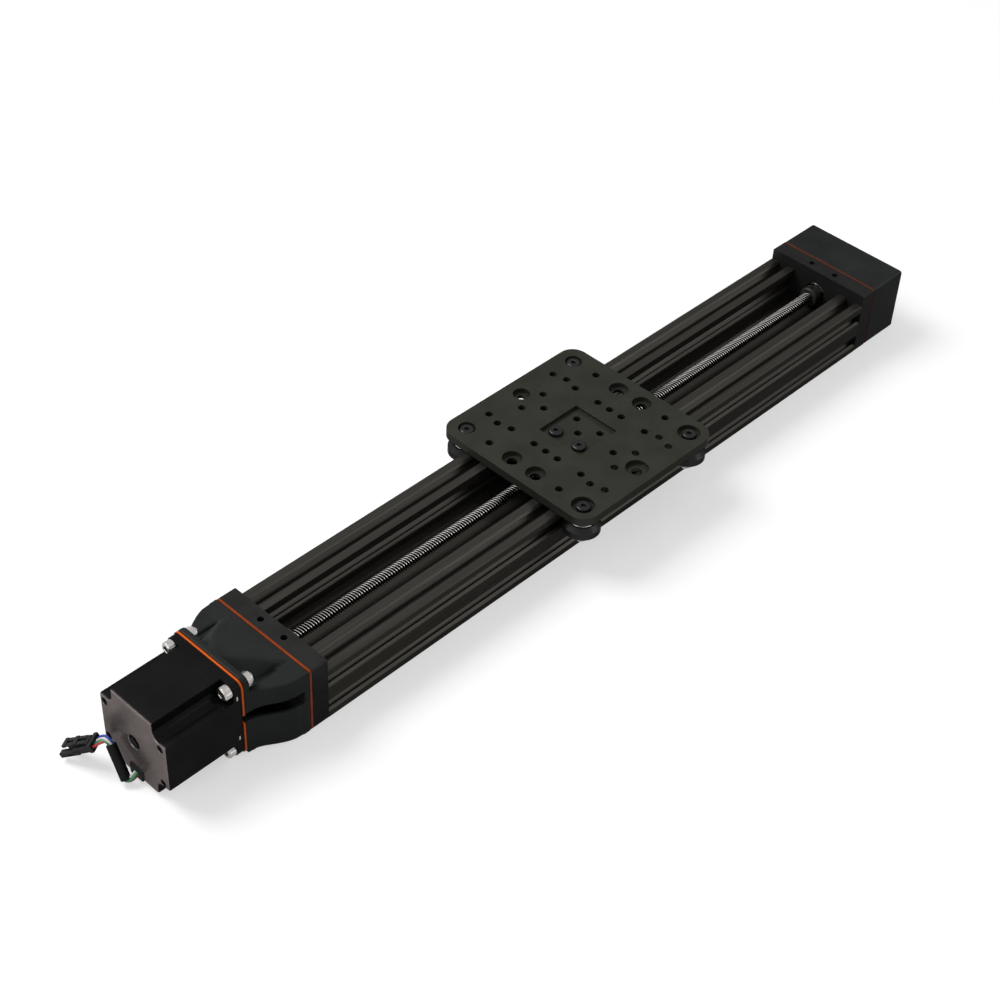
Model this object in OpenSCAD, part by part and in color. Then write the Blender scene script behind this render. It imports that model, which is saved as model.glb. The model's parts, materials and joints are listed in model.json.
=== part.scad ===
// Screw-driven linear module: a channel-shaped slotted rail, a carriage plate on four
// V wheels, a four-start lead screw, and a stepper motor on a moulded bell housing.
// X runs along the travel from the motor to the idler end, Z is up, and the origin is
// on the underside of the rail at the middle of its length.

/* [Rail] */
// Length of the rail
rail_l = 500; // [300:50:1000]
// Side of one square cell of the rail profile
cell = 20; // [19:0.5:24]
// Width of a slot at the surface
slot_open = 9.16; // [8:0.02:10]
// Width of a slot between its lips
slot_throat = 6.2; // [5.6:0.1:7]
// Thickness of the slot lips and of the outer walls
slot_lip = 1.8; // [1.5:0.1:2.2]
// Width of the pocket behind the lips
slot_pocket = 11; // [10:0.2:12]
// Depth of a slot below the surface
slot_depth = 6.1; // [5.5:0.1:6.5]
// Thickness of the diagonal webs between the cores and the corners
web_t = 1.5; // [1.2:0.1:2]
// Diameter of the tapped core holes
core_d = 4.2; // [4:0.1:4.6]
// Radius of the outer edges of the rail
rail_edge_r = 1.2; // [0.5:0.1:2]

/* [End plates] */
// Thickness of an end plate
end_plate_t = 12; // [10:0.5:16]
// Height of an end plate above the top of the rail
end_plate_rise = 8; // [6:0.5:12]
// Distance between the two accessory holes in the top edge
top_hole_pitch = 20; // [18:1:40]
// Depth of the accessory holes
top_hole_depth = 10; // [6:1:12]
// Thickness of an end gasket
gasket_t = 1.5; // [1:0.1:3]

/* [Screw] */
// Outer diameter of the lead screw
screw_d = 8; // [6:0.5:10]
// Outer diameter of a lock collar
collar_d = 14; // [13:0.5:18]
// Length of a lock collar
collar_l = 7; // [5:0.5:10]
// Outer diameter of the screw bearings
screw_bearing_d = 16; // [15:0.5:20]
// Width of the screw bearings
screw_bearing_w = 5; // [4:0.5:6]
// Outer diameter of the shaft coupling
coupling_d = 19; // [16:0.5:20]
// Length of the shaft coupling
coupling_l = 25; // [20:1:28]

/* [Carriage] */
// Length of the carriage plate along the travel
plate_l = 125; // [120:1:170]
// Width of the carriage plate
plate_w = 125; // [120:1:170]
// Thickness of the carriage plate
plate_t = 6; // [5:0.5:8]
// Corner radius of the carriage plate
plate_corner_r = 11; // [6:1:14]
// Gap between the rail and the carriage plate
plate_gap = 1; // [0.5:0.1:3]
// Distance between wheel axles along the travel
wheel_base = 100; // [96:1:104]
// Depth of the counterbores over the wheel screws
counterbore_depth = 3.2; // [2.8:0.1:3.6]
// Side of the square recess in the middle of the plate
recess_w = 35; // [33:1:37]
// Depth of that recess
recess_depth = 2.5; // [2:0.1:3]

/* [Wheels] */
// Outer diameter of a V wheel
wheel_d = 24; // [22:0.5:26]
// Width of a V wheel
wheel_w = 10.2; // [10:0.1:10.8]
// Width of the flat on the rim of a V wheel
wheel_tip = 4.4; // [3.6:0.1:5]
// Gap between a wheel's bevel and the slot, measured along the axle
wheel_gap = 0.38; // [0.2:0.02:0.8]
// Throw of the eccentric spacers
cam_throw = 0.5; // [0:0.1:0.8]

/* [Motor mount] */
// Length of the bell housing
housing_l = 37.5; // [34:0.5:50]
// Side of the square motor flange of the housing
flange_w = 58; // [57:0.5:60]
// Thickness of that flange
flange_t = 4; // [2.5:0.5:5]
// Wall thickness of the housing
housing_wall = 4; // [3:0.5:5]
// Thickness of the spacer between housing and motor
spacer_t = 2; // [2:0.5:5]
// Height of the coupling access slot at its wide end
access_h = 9.6; // [8:0.2:12]

/* [Motor] */
// Side of the motor
motor_w = 56.4; // [56:0.1:57]
// Length of the motor without its shaft
motor_l = 53; // [48:1:100]
// Distance between two mounting holes along a side
motor_hole_pitch = 47.14; // [47:0.02:47.3]
// Diameter of the centring boss
pilot_d = 38.1; // [36:0.1:40]
// Height of the centring boss
pilot_h = 1.6; // [1:0.1:2]
// Diameter of the motor shaft
shaft_d = 6.35; // [5:0.05:8]
// Length of the shaft outside the motor
shaft_out = 20.6; // [18:0.2:24]

/* [Idler cover] */
// Length of the cover at the idler end
cover_l = 31.5; // [26:0.5:50]
// Wall thickness of the cover
cover_wall = 3; // [2:0.5:4]

/* [Hidden] */
$fn = 48;
cut = 1;              // how far a cutter reaches past the face that it opens
fit = 0.02;           // radial gap of pressed, tapped and clamped fits
run = 0.1;            // radial gap of running fits
anodised = [0.16, 0.16, 0.17];
moulded = [0.20, 0.20, 0.21];
steel = [0.78, 0.78, 0.80];
orange = [0.85, 0.42, 0.12];

// Rail profile
rail_w = 4 * cell;
rail_h = 2 * cell;
channel_w = 2 * cell;
channel_floor = cell;
screw_z = 1.5 * cell;
cells = [
    for (i = [-1.5, 1.5], j = [0.5, 1.5]) [i * cell, j * cell],
    for (i = [-0.5, 0.5]) [i * cell, cell / 2]
];
// Core holes that take the end plate screws
rail_screw_sites = [
    for (side = [-1, 1]) [side * 1.5 * cell, 1.5 * cell],
    for (side = [-1, 1]) [side * 0.5 * cell, 0.5 * cell]
];

// Metric hardware, size 5
m5_d = 5;
m5_hole = 5.3;
m5_tap = 4.2;
m5_head_d = 8.5;
m5_head_h = 5;
m5_low_head_d = 9.5;
m5_low_head_h = 2.5;
m5_nut_af = 8;
m5_nut_h = 4.7;
m5_lock_nut_h = 5;
hex_key = 4;

// End plates, outward from the rail's end
end_plate_h = rail_h + end_plate_rise;
plate_edge_r = 1.5;
passage_d = 12;
screw_head_recess = m5_head_h + 0.5;
gasket_x = end_plate_t;
stack_x = gasket_x + gasket_t;

// Bell housing, outward from the rail's end
housing_base_l = 8;
housing_end_x = stack_x + housing_l;
flange_x = housing_end_x - flange_t;
flange_z0 = screw_z - flange_w / 2;
flange_corner_r = 5;
swell_steps = 14;
coupling_hole_d = coupling_d + 3;
flange_bore_d = 44;
roof_x = stack_x + 2.5;
roof_top = flange_z0 + flange_w - 1;
roof_half_w = 25;
roof_tip_half_w = 2.5;
valley_half_w = roof_half_w + 0.5;
valley_z = end_plate_h - 2.4;
access_x = stack_x + 3.5;
access_end_h = 6;
access_depth = 5;
housing_screw_y = 14.5;
housing_screw_z = valley_z - housing_wall - screw_z - m5_head_d / 2 - 0.35;

// Motor, outward from the rail's end
motor_x = housing_end_x + spacer_t;
motor_end_x = motor_x + motor_l;
ear_t = 4.8;
bell_l = 10;
rear_cover_l = 10;
notch_r = 6.2;
motor_bearing_d = 19;
motor_bearing_w = 5;
rotor_d = 30;
rotor_gap = 0.5;
case_screw_d = 3;
case_head_d = 4.6;
case_screw_y = motor_w / 2 - case_head_d / 2 - 2;
case_screw_z = motor_hole_pitch / 2 - notch_r - case_head_d / 2 - 1.1;
rear_hole_d = 9.2;

// Screw line, along X in the part's own frame
coupling_gap = 1.5;
shaft_tip_x = -rail_l / 2 - motor_x + shaft_out;
screw_x0 = shaft_tip_x + coupling_gap;
screw_x1 = rail_l / 2 + end_plate_t + 6;
shim_t = 1;
shim_d = 11;

// Carriage
plate_z = rail_h + plate_gap;
plate_top = plate_z + plate_t;
wheel_bite = (slot_open - wheel_tip) / 2 - wheel_gap;
wheel_y = rail_w / 2 + wheel_d / 2 - wheel_bite;
wheel_z = screw_z;
wheel_bearing_d = 16;
wheel_bearing_w = 5;
wheel_stack_h = 2 * wheel_bearing_w + shim_t;
axle_d = 5;
spacer_d = 10;
spacer_z = wheel_z + wheel_stack_h / 2 + shim_t;
cam_boss_d = 7.1;
cam_hole_d = 7.2;
cam_boss_h = plate_t - counterbore_depth - 0.4;
left_counterbore_d = 11.4;
right_counterbore_d = 15;
inner_counterbore_d = 13;
plate_hole_d = 5.1;
inner_hole_y = 10;
nut_screw_x = -10;
nut_screw_y = 10;
// Groups of plain holes, each mirrored to the four quarters of the plate
plate_hole_groups = [
    [30, 50], [32.5, 40], [30, 30], [50, 30], [10, 40], [30, 10], [30, 0], [0, 30]
];

// Nut block under the carriage plate
nut_block_w = channel_w - 4;
nut_block_x0 = nut_screw_x - 5;
nut_block_l = 20;
nut_block_z0 = channel_floor + 2.5;
nut_slit_x = nut_screw_x + 6;
nut_slit_w = 1.5;
nut_web = 5;
preload_y = nut_block_w / 2 - 4;
preload_d = 4;

// Route of the motor's lead, from the grommet to the connector
lead_d = 5.8;
lead_sides = 8;
lead_route = [
    [-357, -1, 6.6], [-360.5, -1.2, 5], [-363, 1.3, 3.6], [-362.5, 4.5, 7.6], [-362, 8, 12.2],
    [-361.6, 11.6, 16.7], [-361.2, 14.4, 20.2], [-361.8, 17.2, 21.9], [-362.6, 19.8, 21.2],
    [-363.6, 22.4, 19], [-364.5, 24.5, 16.5]
];
connector_at = [-364.5, 24.5, 16.5];
connector_turn = [0, 30, 118];
connector_dir = [
    cos(connector_turn[1]) * cos(connector_turn[2]),
    cos(connector_turn[1]) * sin(connector_turn[2]),
    -sin(connector_turn[1])
];
connector_l = 24;
connector_w = 11;
connector_h = 5.5;
grommet_w = 11;
grommet_h = 8;
grommet_l = 4;
grommet_out = 1;

// ---- Shared shapes ----

// A flat shape drawn in Y and Z, extruded along X
module yz_extrude(x0, length) {
    translate([x0, 0, 0]) rotate([90, 0, 90]) linear_extrude(length) children();
}

module x_cylinder(x0, length, d, y = 0, z = 0) {
    translate([x0, y, z]) rotate([0, 90, 0]) cylinder(h = length, d = d);
}

module x_cone(x0, length, d1, d2, y = 0, z = 0) {
    translate([x0, y, z]) rotate([0, 90, 0]) cylinder(h = length, d1 = d1, d2 = d2);
}

// Rectangle with round corners, centred on its first axis and standing on the second
module round_rect(w, h, r) {
    translate([-w / 2 + r, 0]) square([w - 2 * r, h]);
    translate([-w / 2, r]) square([w, h - 2 * r]);
    for (x = [r - w / 2, w / 2 - r], y = [r, h - r]) translate([x, y]) circle(r);
}

// Places its children outward from the rail's end, with X pointing away from the rail
module at_motor_end() {
    translate([-rail_l / 2, 0, 0]) mirror([1, 0, 0]) children();
}

module at_idler_end() {
    translate([rail_l / 2, 0, 0]) children();
}

// Socket-head screw along +X from under its head; the tail is drawn at the tapping size
module socket_screw(x, site, grip, tail, head_d, head_h) {
    translate([x, site[0], site[1]]) rotate([0, 90, 0]) {
        difference() {
            translate([0, 0, -head_h]) cylinder(h = head_h, d = head_d);
            translate([0, 0, -head_h - cut]) cylinder(h = head_h / 2 + cut, d = hex_key, $fn = 6);
        }
        cylinder(h = grip, d = m5_d);
        cylinder(h = grip + tail, d = m5_tap - 2 * fit);
    }
}

// Ring with chamfered rims, standing on z = 0
module ring(d, bore, h, chamfer = 0.3) {
    rotate_extrude() polygon([
        [bore / 2, 0], [d / 2 - chamfer, 0], [d / 2, chamfer],
        [d / 2, h - chamfer], [d / 2 - chamfer, h], [bore / 2, h]
    ]);
}

// Outer ring of a bearing with its two shields
module outer_ring(d, bore, w) {
    race = (d + bore) / 4 - 0.5;
    shield = d / 2 - 1.1;
    dish = 0.3;
    rotate_extrude() polygon([
        [race + run, dish], [shield, dish], [shield, 0], [d / 2 - dish, 0], [d / 2, dish],
        [d / 2, w - dish], [d / 2 - dish, w], [shield, w], [shield, w - dish], [race + run, w - dish]
    ]);
}

module inner_ring(d, bore, w) {
    race = (d + bore) / 4 - 0.5;
    rotate_extrude() translate([bore / 2, 0]) square([race - bore / 2, w]);
}

// ---- Rail ----

// True when the profile has a cell centred at p
function has_cell(p) = len([for (c = cells) if (norm(c - p) < 0.1) c]) > 0;

// An open slot, drawn from the centre of its cell towards +Y of the sketch
module slot_sketch() {
    top = cell / 2;
    floor_half = top - slot_depth - web_t / sqrt(2);
    shoulder = slot_pocket / 2 + web_t / sqrt(2);
    half = [
        [slot_open / 2 + cut, top + cut], [slot_throat / 2, top - (slot_open - slot_throat) / 2],
        [slot_throat / 2, top - slot_lip], [slot_pocket / 2, top - slot_lip],
        [slot_pocket / 2, shoulder], [floor_half, top - slot_depth]
    ];
    polygon([each half, for (i = [len(half) - 1:-1:0]) [-half[i][0], half[i][1]]]);
}

// Half of the closed hollow between two neighbouring cells
module hollow_sketch() {
    top = cell / 2;
    floor_half = top - slot_depth - web_t / sqrt(2);
    wide = top - slot_lip;
    half = [[wide, top + 0.01], [wide, wide + web_t / sqrt(2)], [floor_half, top - slot_depth]];
    polygon([each half, for (i = [len(half) - 1:-1:0]) [-half[i][0], half[i][1]]]);
}

module rail_sketch() {
    difference() {
        round_rect(rail_w, rail_h, rail_edge_r);
        translate([-channel_w / 2, channel_floor]) square([channel_w, rail_h]);
        for (c = cells) translate(c) {
            circle(d = core_d);
            for (turn = [0:90:270]) {
                reach = cell * [-sin(turn), cos(turn)];
                if (has_cell(c + reach)) rotate(turn) hollow_sketch();
                else rotate(turn) slot_sketch();
            }
        }
    }
}

module extrusion_rail() {
    color(anodised) yz_extrude(-rail_l / 2, rail_l) rail_sketch();
}

// ---- End plates, bearings and gaskets ----

// End plate outward from the rail; sites are the tapped holes in its outer face
module end_plate(sites) {
    color(anodised) difference() {
        yz_extrude(0, end_plate_t) round_rect(rail_w, end_plate_h, plate_edge_r);
        x_cylinder(-cut, screw_bearing_w + cut, screw_bearing_d + 2 * fit, 0, screw_z);
        x_cylinder(-cut, end_plate_t + 2 * cut, passage_d, 0, screw_z);
        for (s = rail_screw_sites) {
            x_cylinder(-cut, end_plate_t + 2 * cut, m5_hole, s[0], s[1]);
            x_cylinder(end_plate_t - screw_head_recess, screw_head_recess + cut,
                m5_head_d + 0.5, s[0], s[1]);
        }
        for (s = sites) x_cylinder(2, end_plate_t, m5_tap, s[0], s[1]);
        for (side = [-1, 1])
            translate([end_plate_t / 2, side * top_hole_pitch / 2, end_plate_h - top_hole_depth])
                cylinder(h = top_hole_depth + cut, d = m5_tap);
    }
}

housing_sites = [
    for (side = [-1, 1], up = [-1, 1]) [side * housing_screw_y, screw_z + up * housing_screw_z]
];
cover_boss_d = 9;
cover_sites = [
    for (y = [-1, 1] * (rail_w / 2 - cover_boss_d / 2 - 1),
         z = [cover_boss_d / 2 + 1, end_plate_h - cover_boss_d / 2 - 1]) [y, z]
];

module motor_end_plate() {
    at_motor_end() end_plate(housing_sites);
}

module idler_end_plate() {
    at_idler_end() end_plate(cover_sites);
}

module screw_bearing() {
    color(steel) translate([0, 0, screw_z]) rotate([0, 90, 0])
        outer_ring(screw_bearing_d, screw_d, screw_bearing_w);
}

module motor_end_bearing() {
    at_motor_end() screw_bearing();
}

module idler_end_bearing() {
    at_idler_end() screw_bearing();
}

module rail_screws() {
    color(steel) for (s = rail_screw_sites)
        mirror([1, 0, 0]) socket_screw(screw_head_recess - end_plate_t, s,
            end_plate_t - screw_head_recess, 12, m5_head_d, m5_head_h);
}

module motor_end_rail_screws() {
    at_motor_end() rail_screws();
}

module idler_end_rail_screws() {
    at_idler_end() rail_screws();
}

module motor_end_gasket() {
    at_motor_end() color(orange) difference() {
        yz_extrude(gasket_x, gasket_t) round_rect(rail_w, end_plate_h, plate_edge_r);
        x_cylinder(gasket_x - cut, gasket_t + 2 * cut, coupling_hole_d, 0, screw_z);
        for (s = housing_sites) x_cylinder(gasket_x - cut, gasket_t + 2 * cut, m5_hole, s[0], s[1]);
    }
}

module idler_end_gasket() {
    inset = 0.6;
    window_w = rail_w - 4 * cover_boss_d;
    window_h = end_plate_h - 2 * housing_base_l;
    at_idler_end() color(orange) difference() {
        yz_extrude(gasket_x, gasket_t)
            translate([0, inset]) round_rect(rail_w - 2 * inset, end_plate_h - 2 * inset, plate_edge_r);
        yz_extrude(gasket_x - cut, gasket_t + 2 * cut)
            translate([0, housing_base_l]) round_rect(window_w, window_h, 3);
        for (s = cover_sites) x_cylinder(gasket_x - cut, gasket_t + 2 * cut, m5_hole, s[0], s[1]);
    }
}

// ---- Bell housing ----

// Half width of the bell at t, from 0 where it starts to narrow to 1 at the flange
function bell_half(t, inset) =
    flange_w / 2 - inset + (rail_w - flange_w) / 2 * (1 + cos(180 * t)) / 2;

// Plan of the bell between two stations, narrowing in one S curve towards the motor
module bell_plan(inset, x_from) {
    neck = housing_end_x - stack_x - housing_base_l;
    edge = [for (i = [0:swell_steps])
        [stack_x + housing_base_l + neck * i / swell_steps, bell_half(i / swell_steps, inset)]];
    polygon([
        [x_from, rail_w / 2 - inset], each edge,
        for (i = [swell_steps:-1:0]) [edge[i][0], -edge[i][1]], [x_from, inset - rail_w / 2]
    ]);
}

// Side view of the walls: the underside lifts to the flange
module bell_side() {
    polygon([
        [stack_x, 0], [stack_x + housing_base_l, 0], [housing_end_x, flange_z0],
        [housing_end_x, end_plate_h], [stack_x, end_plate_h]
    ]);
}

module xz_extrude(width) {
    translate([0, width / 2, 0]) rotate([90, 0, 0]) linear_extrude(width) children();
}

// Half width and height of the roof at t, from 0 at the end plate to 1 at the flange
function roof_edge(t) = [
    roof_tip_half_w + (roof_half_w - roof_tip_half_w) * (1 - pow(t, 1.6)),
    end_plate_h + (roof_top - end_plate_h) * sin(90 * t)
];

// Roof that climbs from the end plate to the top of the flange and narrows to a tongue
module bell_roof() {
    foot = motor_hole_pitch / 2 - 1.5;
    hull() {
        for (t = [0:0.2:1]) {
            edge = roof_edge(t);
            translate([roof_x + t * (flange_x - roof_x) - 0.1, -edge[0], valley_z])
                cube([0.2, 2 * edge[0], edge[1] - valley_z]);
        }
        translate([flange_x, -foot, valley_z - 1]) cube([0.5, 2 * foot, 1]);
    }
}

// Valleys between the roof and the shoulders, which open towards the flange round the nuts
module bell_valleys() {
    for (side = [-1, 1]) translate([0, 0, valley_z]) linear_extrude(end_plate_h) polygon([
        [roof_x, side * valley_half_w], [flange_x, side * roof_tip_half_w],
        [housing_end_x + cut, side * roof_tip_half_w], [housing_end_x + cut, side * valley_half_w]
    ]);
}

motor_hole_sites = [
    for (side = [-1, 1], up = [-1, 1]) [side * motor_hole_pitch / 2, screw_z + up * motor_hole_pitch / 2]
];

// Inside of the bell, with the corners round the lower nut pockets left solid
module bell_cavity() {
    difference() {
        translate([0, 0, housing_wall]) linear_extrude(valley_z - 2 * housing_wall)
            intersection() {
                bell_plan(housing_wall, stack_x);
                translate([stack_x + housing_base_l, -rail_w / 2])
                    square([flange_x - stack_x - housing_base_l, rail_w]);
            }
        for (s = motor_hole_sites)
            if (s[1] < screw_z) x_cylinder(flange_x - 14, 14 + cut, 2 * m5_nut_af, s[0], s[1]);
    }
}

// Slot in each side wall that lets a key reach the coupling's set screws
module access_slots() {
    slot = [
        [access_x, screw_z - access_h / 2], [housing_end_x + spacer_t + cut, screw_z - access_end_h / 2],
        [housing_end_x + spacer_t + cut, screw_z + access_end_h / 2], [access_x, screw_z + access_h / 2]
    ];
    for (side = [-1, 1])
        translate([0, side * (flange_w / 2 - access_depth + rail_w / 2), 0])
            xz_extrude(rail_w) polygon(slot);
}

module motor_mount_housing() {
    at_motor_end() color(moulded) difference() {
        union() {
            difference() {
                intersection() {
                    linear_extrude(end_plate_h) bell_plan(0, stack_x);
                    xz_extrude(rail_w + 2) bell_side();
                }
                bell_valleys();
            }
            bell_roof();
            yz_extrude(flange_x, flange_t)
                translate([0, flange_z0]) round_rect(flange_w, flange_w, flange_corner_r);
        }
        bell_cavity();
        x_cylinder(stack_x - cut, housing_base_l + 2 * cut, coupling_hole_d, 0, screw_z);
        x_cylinder(flange_x - cut, flange_t + 2 * cut, flange_bore_d, 0, screw_z);
        for (s = housing_sites) x_cylinder(stack_x - cut, housing_base_l + 2 * cut, m5_hole, s[0], s[1]);
        for (s = motor_hole_sites) {
            x_cylinder(flange_x - cut, flange_t + 2 * cut, m5_hole, s[0], s[1]);
            if (s[1] < screw_z) {
                pocket_l = m5_nut_h + 6;
                translate([flange_x - pocket_l, s[0], s[1]]) rotate([0, 90, 0])
                    cylinder(h = pocket_l, d = (m5_nut_af + 0.3) / cos(30), $fn = 6);
                translate([flange_x - pocket_l, s[0] - m5_nut_af / 2 - 0.15, -cut])
                    cube([pocket_l, m5_nut_af + 0.3, s[1] + cut]);
            }
        }
        access_slots();
    }
}

module housing_screws() {
    head_x = stack_x + housing_base_l;
    at_motor_end() color(steel) for (s = housing_sites)
        mirror([1, 0, 0]) socket_screw(-head_x, s, housing_base_l + gasket_t, 8, m5_head_d, m5_head_h);
}

module motor_spacer() {
    at_motor_end() color(orange) difference() {
        yz_extrude(housing_end_x, spacer_t)
            translate([0, flange_z0]) round_rect(flange_w, flange_w, flange_corner_r);
        x_cylinder(housing_end_x - cut, spacer_t + 2 * cut, pilot_d + 0.2, 0, screw_z);
        for (s = motor_hole_sites) x_cylinder(housing_end_x - cut, spacer_t + 2 * cut, m5_hole, s[0], s[1]);
        access_slots();
    }
}

// ---- Motor ----

// Outline of the motor body: a square with a round pocket at each corner for a mounting screw
module notched_square() {
    translate([0, screw_z]) difference() {
        square(motor_w, center = true);
        for (turn = [0:90:270]) rotate(turn) translate([1, 1] * motor_hole_pitch / 2) {
            circle(notch_r);
            translate([-notch_r, 0]) square(motor_w);
            translate([0, -notch_r]) square(motor_w);
        }
    }
}

case_sites = [
    for (side = [-1, 1], up = [-1, 1]) [side * case_screw_y, screw_z + up * case_screw_z]
];

module motor_front_bell() {
    at_motor_end() color(moulded) difference() {
        union() {
            x_cylinder(motor_x - pilot_h, pilot_h + 1, pilot_d, 0, screw_z);
            yz_extrude(motor_x, ear_t)
                translate([0, screw_z - motor_w / 2]) round_rect(motor_w, motor_w, 4);
            yz_extrude(motor_x, bell_l) notched_square();
        }
        x_cylinder(motor_x - pilot_h - cut, bell_l + pilot_h + 2 * cut, shaft_d + 1, 0, screw_z);
        x_cylinder(motor_x + bell_l - motor_bearing_w, motor_bearing_w + cut,
            motor_bearing_d + 2 * fit, 0, screw_z);
        for (s = motor_hole_sites) x_cylinder(motor_x - cut, ear_t + 2 * cut, m5_hole, s[0], s[1]);
        for (s = case_sites) x_cylinder(motor_x + 3, bell_l, case_screw_d, s[0], s[1]);
    }
}

module motor_stator() {
    x0 = motor_x + bell_l;
    length = motor_l - bell_l - rear_cover_l;
    at_motor_end() color(anodised) difference() {
        yz_extrude(x0, length) notched_square();
        x_cylinder(x0 - cut, length + 2 * cut, rotor_d + 2 * rotor_gap, 0, screw_z);
        for (s = case_sites) x_cylinder(x0 - cut, length + 2 * cut, case_screw_d + 0.4, s[0], s[1]);
    }
}

module motor_rear_cover() {
    x0 = motor_end_x - rear_cover_l;
    at_motor_end() color([0.45, 0.45, 0.46]) difference() {
        yz_extrude(x0, rear_cover_l) notched_square();
        x_cylinder(x0 - cut, motor_bearing_w + cut, motor_bearing_d + 2 * fit, 0, screw_z);
        x_cylinder(x0, rear_cover_l + cut, rear_hole_d, 0, screw_z);
        for (s = case_sites) {
            x_cylinder(x0 - cut, rear_cover_l + 2 * cut, case_screw_d + 0.4, s[0], s[1]);
            x_cylinder(motor_end_x - 3, 3 + cut, case_head_d + 0.4, s[0], s[1]);
        }
        translate([motor_end_x - grommet_l, -grommet_w / 2, 0])
            cube([grommet_l + cut, grommet_w, screw_z - motor_w / 2 + grommet_h]);
    }
}

module motor_bearings() {
    at_motor_end() color(steel)
        for (x = [motor_x + bell_l - motor_bearing_w, motor_end_x - rear_cover_l])
            translate([x, 0, screw_z]) rotate([0, 90, 0])
                ring(motor_bearing_d, shaft_d + 2 * run, motor_bearing_w);
}

module motor_case_screws() {
    length = motor_l - 3 - 4;
    at_motor_end() color(anodised) for (s = case_sites) {
        x_cylinder(motor_end_x - 3 - length, length, case_screw_d - 2 * fit, s[0], s[1]);
        difference() {
            x_cylinder(motor_end_x - 3, 2.6, case_head_d, s[0], s[1]);
            x_cylinder(motor_end_x - 1.6, 2, 2.5, s[0], s[1]);
        }
    }
}

module motor_mount_screws() {
    head_x = motor_x + ear_t;
    grip = ear_t + spacer_t + flange_t + m5_nut_h + 1;
    at_motor_end() color(steel) for (s = motor_hole_sites)
        mirror([1, 0, 0]) socket_screw(-head_x, s, grip, 0, m5_head_d, m5_head_h);
}

module motor_mount_nuts() {
    at_motor_end() color(steel) for (s = motor_hole_sites)
        translate([flange_x - m5_nut_h, s[0], s[1]]) rotate([0, 90, 0]) difference() {
            cylinder(h = m5_nut_h, d = m5_nut_af / cos(30), $fn = 6);
            translate([0, 0, -cut]) cylinder(h = m5_nut_h + 2 * cut, d = m5_d + 2 * fit);
        }
}

// ---- Lead ----

module lead_grommet() {
    z0 = screw_z - motor_w / 2;
    at_motor_end() color([0.1, 0.1, 0.1]) difference() {
        translate([motor_end_x - grommet_l, -grommet_w / 2, z0])
            cube([grommet_l + grommet_out, grommet_w, grommet_h]);
        translate([motor_end_x - grommet_l - cut, -grommet_w / 2 - cut, z0 - cut])
            cube([cut, grommet_w + 2 * cut, grommet_h + 2 * cut]);
    }
}

// Unit direction of the route at point i; its ends meet the grommet and the connector squarely
function route_dir(i) =
    i == 0 ? [-1, 0, 0] :
    i == len(lead_route) - 1 ? connector_dir :
    let (chord = lead_route[i + 1] - lead_route[i - 1]) chord / norm(chord);

// Ring of the lead's surface at point i, square to the route
function route_ring(i) =
    let (d = route_dir(i), side = cross(d, [0, 0, 1]) / norm(cross(d, [0, 0, 1])), up = cross(side, d))
    [for (k = [0:lead_sides - 1])
        lead_route[i] + lead_d / 2 * (side * cos(360 * k / lead_sides) + up * sin(360 * k / lead_sides))];

module motor_lead() {
    last = len(lead_route) - 1;
    n = lead_sides;
    points = [for (i = [0:last]) each route_ring(i)];
    walls = [for (i = [0:last - 1], k = [0:n - 1])
        let (a = i * n + k, b = i * n + (k + 1) % n) each [[a, b, b + n], [a, b + n, a + n]]];
    faces = [each walls, [for (k = [n - 1:-1:0]) k], [for (k = [0:n - 1]) last * n + k]];
    color([0.1, 0.1, 0.1]) polyhedron(points, faces);
}

module lead_connector() {
    latch_l = 11;
    color([0.1, 0.1, 0.1]) translate(connector_at) rotate(connector_turn) difference() {
        union() {
            translate([0, -connector_w / 2, -connector_h / 2])
                cube([connector_l, connector_w, connector_h]);
            translate([3, -2.5, connector_h / 2 - 0.1]) cube([latch_l, 5, 1.8]);
        }
        translate([connector_l - 8, -connector_w / 2 + 1.2, 1 - connector_h / 2])
            cube([8 + cut, connector_w - 2.4, connector_h - 2]);
        translate([connector_l - 5, -2.5, 0]) cube([5 + cut, 5, connector_h]);
    }
}

// ---- Idler cover ----

module idler_end_cover() {
    boss_h = cover_l;
    at_idler_end() color(moulded) difference() {
        yz_extrude(stack_x, cover_l) round_rect(rail_w, end_plate_h, 2);
        difference() {
            yz_extrude(stack_x - cut, cover_l - cover_wall + cut)
                translate([0, cover_wall])
                    round_rect(rail_w - 2 * cover_wall, end_plate_h - 2 * cover_wall, 2);
            for (s = cover_sites) x_cylinder(stack_x - 2 * cut, boss_h, cover_boss_d, s[0], s[1]);
        }
        for (s = cover_sites) {
            x_cylinder(stack_x - cut, boss_h + 2 * cut, m5_hole, s[0], s[1]);
            x_cylinder(stack_x + cover_l - m5_head_h, m5_head_h + cut, m5_head_d, s[0], s[1]);
        }
    }
}

module end_cover_screws() {
    head_x = stack_x + cover_l - m5_head_h;
    at_idler_end() color(anodised) for (s = cover_sites)
        mirror([1, 0, 0])
            socket_screw(-head_x, s, head_x - end_plate_t, 8, m5_head_d - 0.4, m5_head_h - 0.5);
}

// ---- Screw line ----

module lead_screw() {
    chamfer = 0.8;
    color(steel) {
        x_cone(screw_x0, chamfer, screw_d - 2 * chamfer, screw_d, 0, screw_z);
        x_cylinder(screw_x0 + chamfer, screw_x1 - screw_x0 - 2 * chamfer, screw_d, 0, screw_z);
        x_cone(screw_x1 - chamfer, chamfer, screw_d, screw_d - 2 * chamfer, 0, screw_z);
    }
}

module screw_bearing_inner_rings() {
    color(steel) for (end = [0, 1]) mirror([end, 0, 0]) translate([rail_l / 2, 0, screw_z])
        rotate([0, 90, 0]) inner_ring(screw_bearing_d, screw_d + 2 * fit, screw_bearing_w);
}

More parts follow.
